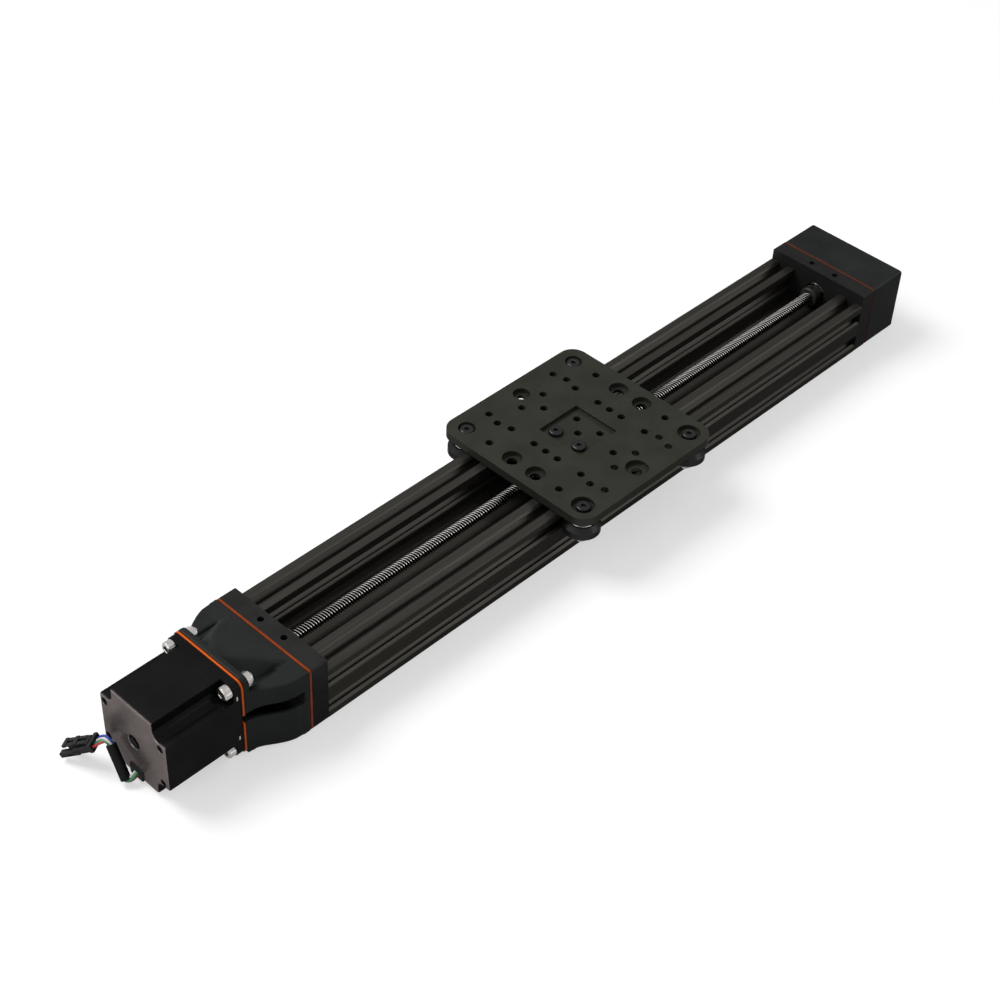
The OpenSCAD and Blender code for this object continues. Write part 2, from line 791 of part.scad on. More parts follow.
module screw_shims() {
    color(steel) for (end = [0, 1]) mirror([end, 0, 0]) translate([rail_l / 2 - shim_t, 0, screw_z])
        rotate([0, 90, 0]) ring(shim_d, screw_d + 2 * fit, shim_t, 0.1);
}

// Lock collar inside the channel, clamped against the shim by one radial set screw
module lock_collar() {
    color(anodised) difference() {
        translate([rail_l / 2 - shim_t - collar_l, 0, screw_z]) rotate([0, 90, 0])
            ring(collar_d, screw_d + 2 * fit, collar_l, 0.5);
        translate([rail_l / 2 - shim_t - collar_l / 2, 0, screw_z]) cylinder(h = collar_d, d = 3);
    }
}

module motor_end_lock_collar() {
    mirror([1, 0, 0]) lock_collar();
}

module idler_end_lock_collar() {
    lock_collar();
}

module collar_set_screws() {
    length = (collar_d - screw_d) / 2 - 0.6;
    color(anodised) for (end = [0, 1]) mirror([end, 0, 0])
        translate([rail_l / 2 - shim_t - collar_l / 2, 0, screw_z + screw_d / 2 + 0.2])
            cylinder(h = length, d = 3 - 2 * fit);
}

coupling_x0 = (shaft_tip_x + screw_x0 - coupling_l) / 2;
coupling_screw_d = 4;
coupling_screw_x = [coupling_x0 + 4, coupling_x0 + coupling_l - 4];

module shaft_coupling() {
    slit_w = 0.8;
    middle = coupling_x0 + coupling_l / 2;
    color([0.7, 0.7, 0.72]) difference() {
        translate([coupling_x0, 0, screw_z]) rotate([0, 90, 0]) ring(coupling_d, shaft_d, coupling_l, 0.6);
        x_cylinder(coupling_x0 - cut, coupling_l / 2 + cut, shaft_d + 2 * fit, 0, screw_z);
        x_cylinder(middle, coupling_l / 2 + cut, screw_d + 2 * fit, 0, screw_z);
        for (x = coupling_screw_x)
            translate([x, 0, screw_z]) cylinder(h = coupling_d, d = coupling_screw_d);
        for (k = [-1, 0, 1]) translate([middle + 2.5 * k - slit_w / 2, -coupling_d, screw_z])
            mirror([0, 0, abs(k)]) translate([0, 0, -2]) cube([slit_w, 2 * coupling_d, coupling_d]);
    }
}

module coupling_set_screws() {
    bores = [shaft_d, screw_d];
    color(anodised) for (i = [0, 1]) {
        length = (coupling_d - bores[i]) / 2 - 1;
        translate([coupling_screw_x[i], 0, screw_z + bores[i] / 2 + 0.2])
            cylinder(h = length, d = coupling_screw_d - 2 * fit);
    }
}

module motor_shaft() {
    x0 = -rail_l / 2 - motor_end_x + rear_cover_l - motor_bearing_w - 2;
    color(steel) x_cylinder(x0, shaft_tip_x - x0, shaft_d, 0, screw_z);
}

module motor_rotor() {
    length = motor_l - bell_l - rear_cover_l - 4;
    x0 = -rail_l / 2 - motor_x - bell_l - 2 - length;
    color([0.35, 0.35, 0.36]) translate([x0, 0, screw_z]) rotate([0, 90, 0])
        ring(rotor_d, shaft_d + 2 * fit, length);
}

// ---- Carriage ----

wheel_x = wheel_base / 2;

// Wheel axles: the right row is shifted by the throw of its eccentric spacers
function axle_at(end, side) = [end * wheel_x + (side < 0 ? cam_throw : 0), side * wheel_y];

module plate_sketch() {
    difference() {
        translate([0, -plate_w / 2]) round_rect(plate_l, plate_w, plate_corner_r);
        for (g = plate_hole_groups, sx = g[0] > 0 ? [-1, 1] : [1], sy = g[1] > 0 ? [-1, 1] : [1])
            translate([sx * g[0], sy * g[1]]) circle(d = plate_hole_d);
        for (x = [-wheel_x, 0, wheel_x]) {
            translate([x, wheel_y]) circle(d = plate_hole_d);
            translate([x, -wheel_y]) circle(d = cam_hole_d);
        }
        for (x = [-wheel_x, wheel_x], y = [-inner_hole_y, inner_hole_y])
            translate([x, y]) circle(d = cam_hole_d);
        circle(d = plate_hole_d);
        for (x = [-nut_screw_x, nut_screw_x], y = [-nut_screw_y, nut_screw_y])
            translate([x, y]) circle(d = plate_hole_d);
    }
}

module counterbore(x, y, d) {
    translate([x, y, plate_top - counterbore_depth]) cylinder(h = counterbore_depth + cut, d = d);
}

module carriage_plate() {
    color(anodised) difference() {
        translate([0, 0, plate_z]) linear_extrude(plate_t) plate_sketch();
        translate([-recess_w / 2, -recess_w / 2, plate_top - recess_depth])
            cube([recess_w, recess_w, recess_depth + cut]);
        for (x = [-wheel_x, 0, wheel_x]) {
            counterbore(x, wheel_y, left_counterbore_d);
            counterbore(x, -wheel_y, right_counterbore_d);
        }
        for (x = [-wheel_x, wheel_x], y = [-inner_hole_y, inner_hole_y])
            counterbore(x, y, inner_counterbore_d);
    }
}

nut_sites = [for (side = [-1, 1]) [nut_screw_x, side * nut_screw_y]];

module nut_block() {
    color([0.12, 0.12, 0.12]) difference() {
        yz_extrude(nut_block_x0, nut_block_l) translate([0, nut_block_z0])
            round_rect(nut_block_w, plate_z - nut_block_z0, 1.5);
        x_cylinder(nut_block_x0 - cut, nut_block_l + 2 * cut, screw_d + 2 * run, 0, screw_z);
        for (s = nut_sites) translate([s[0], s[1], nut_block_z0 - cut]) {
            cylinder(h = plate_z, d = m5_hole);
            cylinder(h = m5_nut_h + 0.5 + cut, d = (m5_nut_af + 0.3) / cos(30), $fn = 6);
        }
        translate([nut_slit_x, nut_web - nut_block_w / 2, 0]) cube([nut_slit_w, nut_block_w, 2 * plate_z]);
        x_cylinder(nut_slit_x, nut_block_l, preload_d, preload_y, screw_z);
    }
}

// Low-head screw pointing down from z, at the full thread diameter
module down_screw(x, y, z, length) {
    translate([x, y, z]) {
        difference() {
            cylinder(h = m5_low_head_h, d1 = m5_low_head_d, d2 = m5_low_head_d - 0.8);
            translate([0, 0, m5_low_head_h / 2]) cylinder(h = m5_low_head_h, d = 3, $fn = 6);
        }
        translate([0, 0, -length]) cylinder(h = length, d = m5_d - 2 * fit);
    }
}

module nut_block_screws() {
    floor_z = plate_top - recess_depth;
    color(anodised) for (s = nut_sites) down_screw(s[0], s[1], floor_z, floor_z - nut_block_z0 - 0.5);
}

module nut_block_nuts() {
    color(steel) for (s = nut_sites) translate([s[0], s[1], nut_block_z0 + 0.5]) difference() {
        cylinder(h = m5_nut_h, d = m5_nut_af / cos(30), $fn = 6);
        translate([0, 0, -cut]) cylinder(h = m5_nut_h + 2 * cut, d = m5_d);
    }
}

module nut_preload_screw() {
    x0 = nut_slit_x + 0.2;
    length = nut_block_x0 + nut_block_l - x0 - 1;
    color(steel) x_cylinder(x0, length, preload_d - 2 * fit, preload_y, screw_z);
}

wheel_low_z = wheel_z - wheel_stack_h / 2;

module wheel_screws() {
    floor_z = plate_top - counterbore_depth;
    color(anodised) for (end = [-1, 1], side = [-1, 1]) {
        p = axle_at(end, side);
        down_screw(p[0], p[1], floor_z, floor_z - wheel_low_z + shim_t + m5_lock_nut_h + 0.8);
    }
}

module round_spacers() {
    color(anodised) for (end = [-1, 1]) {
        p = axle_at(end, 1);
        translate([p[0], p[1], spacer_z]) ring(spacer_d, axle_d + 2 * fit, plate_z - spacer_z);
    }
}

// Hex spacer turning in the plate by a boss that is off the axle's centre
module eccentric_spacers() {
    color(steel) for (end = [-1, 1]) {
        p = axle_at(end, -1);
        difference() {
            union() {
                translate([p[0], p[1], spacer_z])
                    cylinder(h = plate_z - spacer_z, d = spacer_d / cos(30), $fn = 6);
                translate([end * wheel_x, p[1], spacer_z])
                    cylinder(h = plate_z - spacer_z + cam_boss_h, d = cam_boss_d);
            }
            translate([p[0], p[1], 0]) cylinder(h = plate_top, d = axle_d + 2 * fit);
        }
    }
}

module wheel_shims() {
    levels = [wheel_low_z - shim_t, wheel_z - shim_t / 2, wheel_low_z + wheel_stack_h];
    color(steel) for (end = [-1, 1], side = [-1, 1], z = levels) {
        p = axle_at(end, side);
        translate([p[0], p[1], z]) ring(spacer_d, axle_d + 2 * fit, shim_t, 0.1);
    }
}

// Heights at which the two bearings of a wheel start
bearing_levels = [wheel_low_z, wheel_z + shim_t / 2];

module wheel_inner_rings() {
    color(steel) for (end = [-1, 1], side = [-1, 1], z = bearing_levels) {
        p = axle_at(end, side);
        translate([p[0], p[1], z]) inner_ring(wheel_bearing_d, axle_d + 2 * fit, wheel_bearing_w);
    }
}

module wheel_lock_nuts() {
    z0 = wheel_low_z - shim_t - m5_lock_nut_h;
    color(steel) for (end = [-1, 1], side = [-1, 1]) {
        p = axle_at(end, side);
        translate([p[0], p[1], z0]) difference() {
            union() {
                translate([0, 0, 1.3]) cylinder(h = m5_lock_nut_h - 1.3, d = m5_nut_af / cos(30), $fn = 6);
                cylinder(h = 1.4, d = m5_nut_af - 0.6);
            }
            translate([0, 0, -cut]) cylinder(h = m5_lock_nut_h + 2 * cut, d = m5_d);
        }
    }
}

// V wheel with a seat for a bearing on each face and a shoulder between them
module v_wheel(end, side) {
    p = axle_at(end, side);
    tip = wheel_tip / 2;
    rim = wheel_d / 2;
    land = rim - (wheel_w - wheel_tip) / 2;
    seat = wheel_bearing_d / 2 + fit;
    shoulder = seat - 1;
    color([0.1, 0.1, 0.1]) translate([p[0], p[1], wheel_z]) rotate_extrude() polygon([
        [seat, -wheel_w / 2], [land, -wheel_w / 2], [rim, -tip], [rim, tip], [land, wheel_w / 2],
        [seat, wheel_w / 2], [seat, shim_t / 2], [shoulder, shim_t / 2], [shoulder, -shim_t / 2],
        [seat, -shim_t / 2]
    ]);
}

module wheel_bearings(end, side) {
    p = axle_at(end, side);
    color(steel) for (z = bearing_levels)
        translate([p[0], p[1], z]) outer_ring(wheel_bearing_d, axle_d, wheel_bearing_w);
}

module wheel_motor_left() { v_wheel(-1, 1); }
module wheel_motor_right() { v_wheel(-1, -1); }
module wheel_idler_left() { v_wheel(1, 1); }
module wheel_idler_right() { v_wheel(1, -1); }
module wheel_bearings_motor_left() { wheel_bearings(-1, 1); }
module wheel_bearings_motor_right() { wheel_bearings(-1, -1); }
module wheel_bearings_idler_left() { wheel_bearings(1, 1); }
module wheel_bearings_idler_right() { wheel_bearings(1, -1); }

extrusion_rail();
motor_end_plate();
idler_end_plate();
motor_end_bearing();
idler_end_bearing();
motor_end_rail_screws();
idler_end_rail_screws();
motor_end_gasket();
idler_end_gasket();
motor_mount_housing();
housing_screws();
motor_spacer();
motor_front_bell();
motor_stator();
motor_rear_cover();
motor_bearings();
motor_case_screws();
motor_mount_screws();
motor_mount_nuts();
lead_grommet();
motor_lead();
lead_connector();
idler_end_cover();
end_cover_screws();
lead_screw();
screw_bearing_inner_rings();
screw_shims();
motor_end_lock_collar();
idler_end_lock_collar();
collar_set_screws();
shaft_coupling();
coupling_set_screws();
motor_shaft();
motor_rotor();
carriage_plate();
nut_block();
nut_block_screws();
nut_block_nuts();
nut_preload_screw();
wheel_screws();
round_spacers();
eccentric_spacers();
wheel_shims();
wheel_inner_rings();
wheel_lock_nuts();
wheel_motor_left();
wheel_bearings_motor_left();
wheel_motor_right();
wheel_bearings_motor_right();
wheel_idler_left();
wheel_bearings_idler_left();
wheel_idler_right();
wheel_bearings_idler_right();
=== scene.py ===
"""Looks of the screw-driven linear module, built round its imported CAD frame.

Units are metres and every position is in the CAD's own frame: X runs from the motor to the
idler end, Z is up, and the origin is under the middle of the rail.
"""

import json
import math

import bmesh
import bpy
from mathutils import Matrix, Vector

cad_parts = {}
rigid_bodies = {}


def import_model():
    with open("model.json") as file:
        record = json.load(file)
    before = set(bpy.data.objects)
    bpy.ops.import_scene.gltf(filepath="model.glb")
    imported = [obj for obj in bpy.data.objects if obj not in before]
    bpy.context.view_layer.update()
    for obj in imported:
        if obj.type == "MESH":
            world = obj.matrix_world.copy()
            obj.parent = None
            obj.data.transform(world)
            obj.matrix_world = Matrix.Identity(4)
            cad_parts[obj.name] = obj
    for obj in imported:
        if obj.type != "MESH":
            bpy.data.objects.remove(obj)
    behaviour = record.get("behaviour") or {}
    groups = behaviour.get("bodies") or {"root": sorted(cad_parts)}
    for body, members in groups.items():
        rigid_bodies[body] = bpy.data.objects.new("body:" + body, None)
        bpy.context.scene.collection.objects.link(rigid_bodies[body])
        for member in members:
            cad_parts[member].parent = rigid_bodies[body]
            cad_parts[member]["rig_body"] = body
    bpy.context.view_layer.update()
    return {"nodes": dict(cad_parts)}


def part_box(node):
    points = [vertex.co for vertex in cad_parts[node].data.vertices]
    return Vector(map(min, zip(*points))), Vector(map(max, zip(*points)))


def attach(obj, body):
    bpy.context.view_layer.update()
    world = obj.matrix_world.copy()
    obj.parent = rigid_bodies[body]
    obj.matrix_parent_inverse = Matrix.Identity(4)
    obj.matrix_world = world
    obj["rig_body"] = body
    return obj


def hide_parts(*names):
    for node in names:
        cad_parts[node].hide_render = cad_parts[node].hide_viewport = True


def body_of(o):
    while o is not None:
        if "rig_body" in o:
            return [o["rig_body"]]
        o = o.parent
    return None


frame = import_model()
NODES = frame["nodes"]
MM = 0.001
AXIS_Z = 30.0

# ---- Camera, fitted to points of the module in the photo ----

CAMERA_AT = (-0.75740, -0.62386, 0.86679)
CAMERA_AZIMUTH, CAMERA_ELEVATION, CAMERA_ROLL = -47.76, 42.02, -2.99
FOCAL_PX, FRAME_PX, SENSOR_MM = 2008.7, 1000.0, 36.0


def add_camera():
    a, e, roll = (math.radians(x) for x in (CAMERA_AZIMUTH, CAMERA_ELEVATION, CAMERA_ROLL))
    back = Vector((math.sin(a) * math.cos(e), -math.cos(a) * math.cos(e), math.sin(e)))
    right = (-back).cross(Vector((0, 0, 1))).normalized()
    down = (-back).cross(right)
    right, down = (
        right * math.cos(roll) + down * math.sin(roll),
        down * math.cos(roll) - right * math.sin(roll),
    )
    data = bpy.data.cameras.new("photo_camera")
    data.sensor_width = SENSOR_MM
    data.lens = FOCAL_PX / FRAME_PX * SENSOR_MM
    data.clip_start, data.clip_end = 0.05, 30
    camera = bpy.data.objects.new("photo_camera", data)
    turn = Matrix((right, -down, back)).transposed().to_4x4()
    camera.matrix_world = Matrix.Translation(CAMERA_AT) @ turn
    bpy.context.scene.collection.objects.link(camera)
    bpy.context.scene.camera = camera


add_camera()

# ---- Materials ----


class Shader:
    """A Principled material under construction: patterns are in object coordinates, in metres."""

    def __init__(self, name, rough=0.4, metal=0.0, specular=0.5, **sockets):
        self.material = bpy.data.materials.new(name)
        self.material.use_nodes = True
        self.tree = self.material.node_tree
        self.main = self.tree.nodes["Principled BSDF"]
        self.set(Roughness=rough, Metallic=metal)
        self.main.inputs["Specular IOR Level"].default_value = specular
        for key, value in sockets.items():
            self.main.inputs[key.replace("_", " ")].default_value = value
        self.normal = None
        self.place = self.node("ShaderNodeTexCoord").outputs["Object"]

    def set(self, **sockets):
        for key, value in sockets.items():
            self.main.inputs[key].default_value = value

    def node(self, kind, **inputs):
        made = self.tree.nodes.new(kind)
        for key, value in inputs.items():
            self.feed(made.inputs[key], value)
        return made

    def feed(self, socket, value):
        if isinstance(value, bpy.types.NodeSocket):
            self.tree.links.new(value, socket)
        else:
            socket.default_value = value

    def math(self, operation, a, b=0.0):
        made = self.tree.nodes.new("ShaderNodeMath")
        made.operation = operation
        self.feed(made.inputs[0], a)
        self.feed(made.inputs[1], b)
        return made.outputs[0]

    def noise(self, scale, stretch=(1, 1, 1), detail=4, rough=0.55):
        mapping = self.node("ShaderNodeMapping", Vector=self.place, Scale=stretch)
        made = self.node(
            "ShaderNodeTexNoise",
            Vector=mapping.outputs[0],
            Scale=scale,
            Detail=detail,
            Roughness=rough,
        )
        return made.outputs["Fac"]

    def spread(self, value, low, high, start=0.3, end=0.7):
        made = self.node("ShaderNodeMapRange")
        for key, number in zip(
            ("Value", "From Min", "From Max", "To Min", "To Max"),
            (value, start, end, low, high),
        ):
            self.feed(made.inputs[key], number)
        return made.outputs["Result"]

    def tint(self, factor, dark, light):
        mix = self.tree.nodes.new("ShaderNodeMix")
        mix.data_type = "RGBA"
        self.feed(mix.inputs["Factor"], factor)
        mix.inputs[6].default_value = (*dark, 1)
        mix.inputs[7].default_value = (*light, 1)
        return mix.outputs[2]

    def colour(self, factor, dark, light):
        self.feed(self.main.inputs["Base Color"], self.tint(factor, dark, light))

    def rough(self, value, low, high):
        self.feed(self.main.inputs["Roughness"], self.spread(value, low, high))

    def from_axis(self, axis_z, near, far):
        """0 within a distance from the line y = 0, z = axis_z, and 1 beyond a larger one."""
        shifted = self.node("ShaderNodeMapping", Vector=self.place, Location=(0, 0, -axis_z))
        flat = self.node("ShaderNodeMapping", Vector=shifted.outputs[0], Scale=(0, 1, 1))
        length = self.tree.nodes.new("ShaderNodeVectorMath")
        length.operation = "LENGTH"
        self.feed(length.inputs[0], flat.outputs[0])
        return self.spread(length.outputs["Value"], 0, 1, near, far)

    def bump(self, height, distance, strength=1.0):
        made = self.node("ShaderNodeBump", Height=height, Distance=distance, Strength=strength)
        if self.normal:
            self.feed(made.inputs["Normal"], self.normal)
        self.normal = made.outputs[0]
        self.feed(self.main.inputs["Normal"], self.normal)


def grey(level, warm=0.0):
    return (level * (1 + warm), level, level * (1 - warm))


def black_finish(name, dark, light, rough, sheen=0.6, edge=0.1, stretch=(1, 1, 1), scale=5200,
                 grain=0.02, clouds=45):
    """Black surface: part diffuse, part a dim mirror that fades at grazing angles."""
    s = Shader(name, metal=sheen, specular=0.02, Specular_Tint=(edge, edge, edge, 1))
    cloud = s.noise(clouds, stretch)
    skin = s.noise(scale, stretch, 3)
    s.colour(s.spread(cloud, 0, 1), dark, light)
    s.rough(skin, *rough)
    s.bump(skin, grain * MM, 0.5)
    return s.material


def orange_sheet(name, dark, light, painted_highlight_x=None, reach=0.5):
    """Orange board; given a highlight X, its rim is painted lightest around that X and darker to
    both sides, a painted highlight in place of the random tone.
    """
    s = Shader(name, rough=0.3, specular=0.06)
    shade_by = s.spread(s.noise(120), 0, 1)
    if painted_highlight_x is not None:
        # Painted highlight: light within reach of the X, dark beyond twice that reach.
        across = s.node("ShaderNodeSeparateXYZ", Vector=s.place).outputs["X"]
        away = s.math("ABSOLUTE", s.math("SUBTRACT", across, painted_highlight_x * MM))
        shade_by = s.spread(away, 1, 0, reach * MM, 2 * reach * MM)
    s.colour(shade_by, dark, light)
    s.bump(s.noise(6500, detail=2), 0.01 * MM, 0.4)
    return s.material


def metal(name, level, low, high, warm=0.01, scale=1500, stretch=(1, 1, 1), bump=0.01):
    s = Shader(name, metal=1.0)
    cloud = s.noise(200)
    grain = s.noise(scale, stretch, 2)
    s.colour(s.spread(cloud, 0, 1), grey(level * 0.8, warm), grey(level, warm))
    s.rough(grain, low, high)
    s.bump(grain, bump * MM, 0.5)
    return s.material


def screw_steel():
    """Painted shade in the grooves and a painted highlight on the crests: near black within 3.8 mm
    of the axis, bright beyond 3.9 mm.
    """
    s = Shader("screw_steel", metal=1.0)
    # Painted shade and highlight: dark in the grooves, bright on the crests, by distance from the
    # axis.
    depth = s.from_axis(AXIS_Z * MM, 3.8 * MM, 3.9 * MM)
    grain = s.noise(2600)
    s.colour(depth, grey(0.006, 0.05), grey(0.44, 0.03))
    s.rough(grain, 0.18, 0.3)
    s.bump(grain, 0.01 * MM, 0.4)
    return s.material


def polymer(name, dark, light, low, high, specular=0.5, scale=3000, bump=0.02):
    s = Shader(name, specular=specular)
    cloud = s.noise(90)
    skin = s.noise(scale, detail=3)
    s.colour(s.spread(cloud, 0, 1), dark, light)
    s.rough(cloud, low, high)
    s.bump(skin, bump * MM, 0.5)
    return s.material


ALONG = (0.012, 1, 1)
FINISH = {
    "rail_anodised": black_finish(
        "rail_anodised", (0.035, 0.033, 0.029), (0.049, 0.0465, 0.041), (0.24, 0.38), 0.6, 0.06,
        ALONG, 4200, clouds=900
    ),
    "plate_anodised": black_finish(
        "plate_anodised", (0.032, 0.033, 0.027), (0.041, 0.042, 0.035), (0.34, 0.46), 0.5, 0.06,
        scale=9000, clouds=60
    ),
    "moulded_black": black_finish(
        "moulded_black", (0.024, 0.025, 0.025), (0.032, 0.033, 0.033), (0.24, 0.32), 0.5, 0.05
    ),
    "orange_sheet": orange_sheet("orange_sheet", (0.2, 0.034, 0.006), (0.26, 0.048, 0.01)),
    "motor_black": black_finish(
        "motor_black", grey(0.008), grey(0.0115), (0.16, 0.26), 0.5, 0.5, scale=3800, grain=0.012
    ),
    "motor_grey": black_finish(
        "motor_grey", (0.13, 0.11, 0.107), (0.16, 0.137, 0.133), (0.2, 0.3), 0.7, 0.45,
        scale=2600, grain=0.012
    ),
    "bearing_steel": metal("bearing_steel", 0.5, 0.16, 0.26, scale=2200),
    "bright_screws": metal("bright_screws", 0.46, 0.2, 0.34, 0.04, 1800),
    "black_screws": black_finish(
        "black_screws", grey(0.024), grey(0.034), (0.22, 0.34), 0.7, 0.3, grain=0.01
    ),
    "rubber_black": polymer("rubber_black", grey(0.01), grey(0.015), 0.6, 0.75, 0.1),
    "connector_black": black_finish(
        "connector_black", grey(0.03), grey(0.042), (0.34, 0.44), 0.5, 0.3
    ),
    "lead_jacket": black_finish(
        "lead_jacket", grey(0.012), grey(0.02), (0.36, 0.5), 0.5, 0.3
    ),
    "screw_steel": screw_steel(),
    "coupling_aluminium": metal("coupling_aluminium", 0.6, 0.3, 0.42, 0, 2400, (8, 1, 1)),
    "rotor_steel": metal("rotor_steel", 0.36, 0.34, 0.46, 0, 5000, (12, 0.2, 0.2)),
    "nut_polymer": black_finish(
        "nut_polymer", grey(0.018), grey(0.026), (0.4, 0.52), 0.3, 0.2
    ),
    "wheel_polymer": black_finish(
        "wheel_polymer", grey(0.02), grey(0.03), (0.2, 0.32), 0.6, 0.35
    ),
}


def plain(name, colour, rough, specular=0.4):
    dark = [0.85 * c for c in colour]
    return polymer(name, dark, colour, rough, rough + 0.1, specular, bump=0.01)


WIRE_COLOURS = {
    "blue": (0.02, 0.05, 0.36),
    "white": (0.62, 0.62, 0.6),
    "green": (0.02, 0.22, 0.09),
    "red": (0.42, 0.02, 0.03),
}
WIRES = {name: plain("wire_" + name, c, 0.4) for name, c in WIRE_COLOURS.items()}

OILED_STEEL = metal("oiled_steel", 0.12, 0.2, 0.3, scale=2200)
END_PLATE = black_finish(
    "end_plate_anodised", grey(0.02, 0.02), grey(0.027, 0.02), (0.34, 0.46), 0.5, 0.05,
    scale=9000, clouds=60
)

SLOT_OF = {
    "extrusion_rail": "rail_anodised",
    "motor_end_plate": "plate_anodised",
    "idler_end_plate": "plate_anodised",
    "motor_end_bearing": "bearing_steel",
    "idler_end_bearing": "bearing_steel",
    "motor_end_rail_screws": "bright_screws",
    "idler_end_rail_screws": "bright_screws",
    "motor_end_gasket": "orange_sheet",
    "idler_end_gasket": "orange_sheet",
    "motor_mount_housing": "moulded_black",
    "housing_screws": "bright_screws",
    "motor_spacer": "orange_sheet",
    "motor_front_bell": "motor_black",
    "motor_stator": "motor_black",
    "motor_rear_cover": "motor_grey",
    "motor_bearings": "bearing_steel",
    "motor_case_screws": "black_screws",
    "motor_mount_screws": "bright_screws",
    "motor_mount_nuts": "bright_screws",
    "lead_grommet": "rubber_black",
    "motor_lead": "lead_jacket",
    "lead_connector": "connector_black",
    "idler_end_cover": "moulded_black",
    "end_cover_screws": "black_screws",
    "lead_screw": "screw_steel",
    "screw_bearing_inner_rings": "bearing_steel",
    "screw_shims": "bearing_steel",
    "motor_end_lock_collar": "plate_anodised",
    "idler_end_lock_collar": "plate_anodised",
    "collar_set_screws": "black_screws",
    "shaft_coupling": "coupling_aluminium",
    "coupling_set_screws": "black_screws",
    "motor_shaft": "bearing_steel",
    "motor_rotor": "rotor_steel",
    "carriage_plate": "plate_anodised",
    "nut_block": "nut_polymer",
    "nut_block_screws": "black_screws",
    "nut_block_nuts": "bright_screws",
    "nut_preload_screw": "black_screws",
    "wheel_screws": "black_screws",
    "round_spacers": "plate_anodised",
    "eccentric_spacers": "bearing_steel",
    "wheel_shims": "bearing_steel",
    "wheel_inner_rings": "bearing_steel",
    "wheel_lock_nuts": "bright_screws",
    "wheel_motor_left": "wheel_polymer",
    "wheel_bearings_motor_left": "bearing_steel",
    "wheel_motor_right": "wheel_polymer",
    "wheel_bearings_motor_right": "bearing_steel",
    "wheel_idler_left": "wheel_polymer",
    "wheel_bearings_idler_left": "bearing_steel",
    "wheel_idler_right": "wheel_polymer",
    "wheel_bearings_idler_right": "bearing_steel",
}
# Painted highlight along the spacer's rim, lightest around X = -302.3 mm.
SPACER_RIM_HIGHLIGHT = orange_sheet("spacer_rim_highlight", (0.13, 0.022, 0.004), (0.66, 0.115, 0.012), -302.3, 0.3)
HOUSING = black_finish(
    "housing_black", (0.021, 0.0225, 0.0225), (0.027, 0.0285, 0.0285), (0.24, 0.32), 0.2, 0.05
)
OWN_LOOK = {
    "motor_mount_housing": HOUSING,
    "motor_spacer": SPACER_RIM_HIGHLIGHT,
    "motor_end_bearing": OILED_STEEL,
    "idler_end_bearing": OILED_STEEL,
    "motor_end_plate": END_PLATE,
    "idler_end_plate": END_PLATE,
}


def look_of(node):
    """Material of a CAD node: that of its slot, unless it has one of its own."""
    return OWN_LOOK.get(node) or FINISH[SLOT_OF[node]]


for name, node in NODES.items():
    node.data.materials.clear()
    node.data.materials.append(look_of(name))

# ---- Pieces ----


def settle(made, body, replaces=()):
    """Puts a piece on its body, in place of CAD nodes."""
    bpy.context.scene.collection.objects.link(made)
    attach(made, body)
    if replaces:
        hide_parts(*replaces)
    return made


def shade(mesh, angle=30):
    """Smooth faces that break at edges sharper than the angle."""
    mesh.polygons.foreach_set("use_smooth", [True] * len(mesh.polygons))
    mesh.set_sharp_from_angle(angle=math.radians(angle))
    mesh.update()


def round_edges(made, width, segments=2, angle=40):
    m = made.modifiers.new("round_edges", "BEVEL")
    m.width, m.segments, m.limit_method = width * MM, segments, "ANGLE"
    m.angle_limit = math.radians(angle)
    m.harden_normals = True


def finish_bmesh(bm, name, materials, body, replaces=(), angle=30):
    """Turns a bmesh into a piece."""
    mesh = bpy.data.meshes.new(name)
    bm.to_mesh(mesh)
    bm.free()
    for m in materials:
        mesh.materials.append(m)
    shade(mesh, angle)
    return settle(bpy.data.objects.new(name, mesh), body, replaces)


def cad_copy(node):
    """A CAD node's mesh with its flat faces whole again."""
    bm = bmesh.new()
    bm.from_mesh(NODES[node].data)
    bmesh.ops.remove_doubles(bm, verts=bm.verts, dist=0.001 * MM)
    bmesh.ops.dissolve_limit(
        bm, angle_limit=math.radians(0.6), verts=bm.verts, edges=bm.edges
    )
    return bm


def softened(nodes, width, segments=2):
    """Stands in for CAD nodes with the same meshes, their edges rounded."""
    for node in nodes:
        body = body_of(NODES[node])[0]
        made = finish_bmesh(cad_copy(node), "soft_" + node, [look_of(node)], body, [node])
        round_edges(made, width, segments)


def moulded(node, voxel, passes, deep_passes, blended, keep):
    """Stands in for a CAD node with a moulding smoothed all over, more between two X.

    The voxel size and the two X are in millimetres; keep is the share of faces kept.
    """
    body = body_of(NODES[node])[0]
    made = finish_bmesh(cad_copy(node), "moulded_" + node, [look_of(node)], body, [node], 180)
    remesh = made.modifiers.new("voxels", "REMESH")
    remesh.mode, remesh.voxel_size, remesh.use_smooth_shade = "VOXEL", voxel * MM, True
    keep_result(made)
    deep = made.vertex_groups.new(name="blended")
    inner = [v.index for v in made.data.vertices if blended[0] < v.co.x / MM < blended[1]]
    deep.add(inner, 1.0, "REPLACE")
    for count, group in ((passes, ""), (deep_passes, "blended")):
        smooth = made.modifiers.new("blend", "SMOOTH")
        smooth.factor, smooth.iterations, smooth.vertex_group = 0.5, count, group
    thin = made.modifiers.new("thin", "DECIMATE")
    thin.ratio = keep


def facing(at, toward):
    """Frame at a point in millimetres, with Z towards a direction."""
    turn = Vector(toward).to_track_quat("Z", "Y").to_matrix().to_4x4()
    return Matrix.Translation(Vector(at) * MM) @ turn


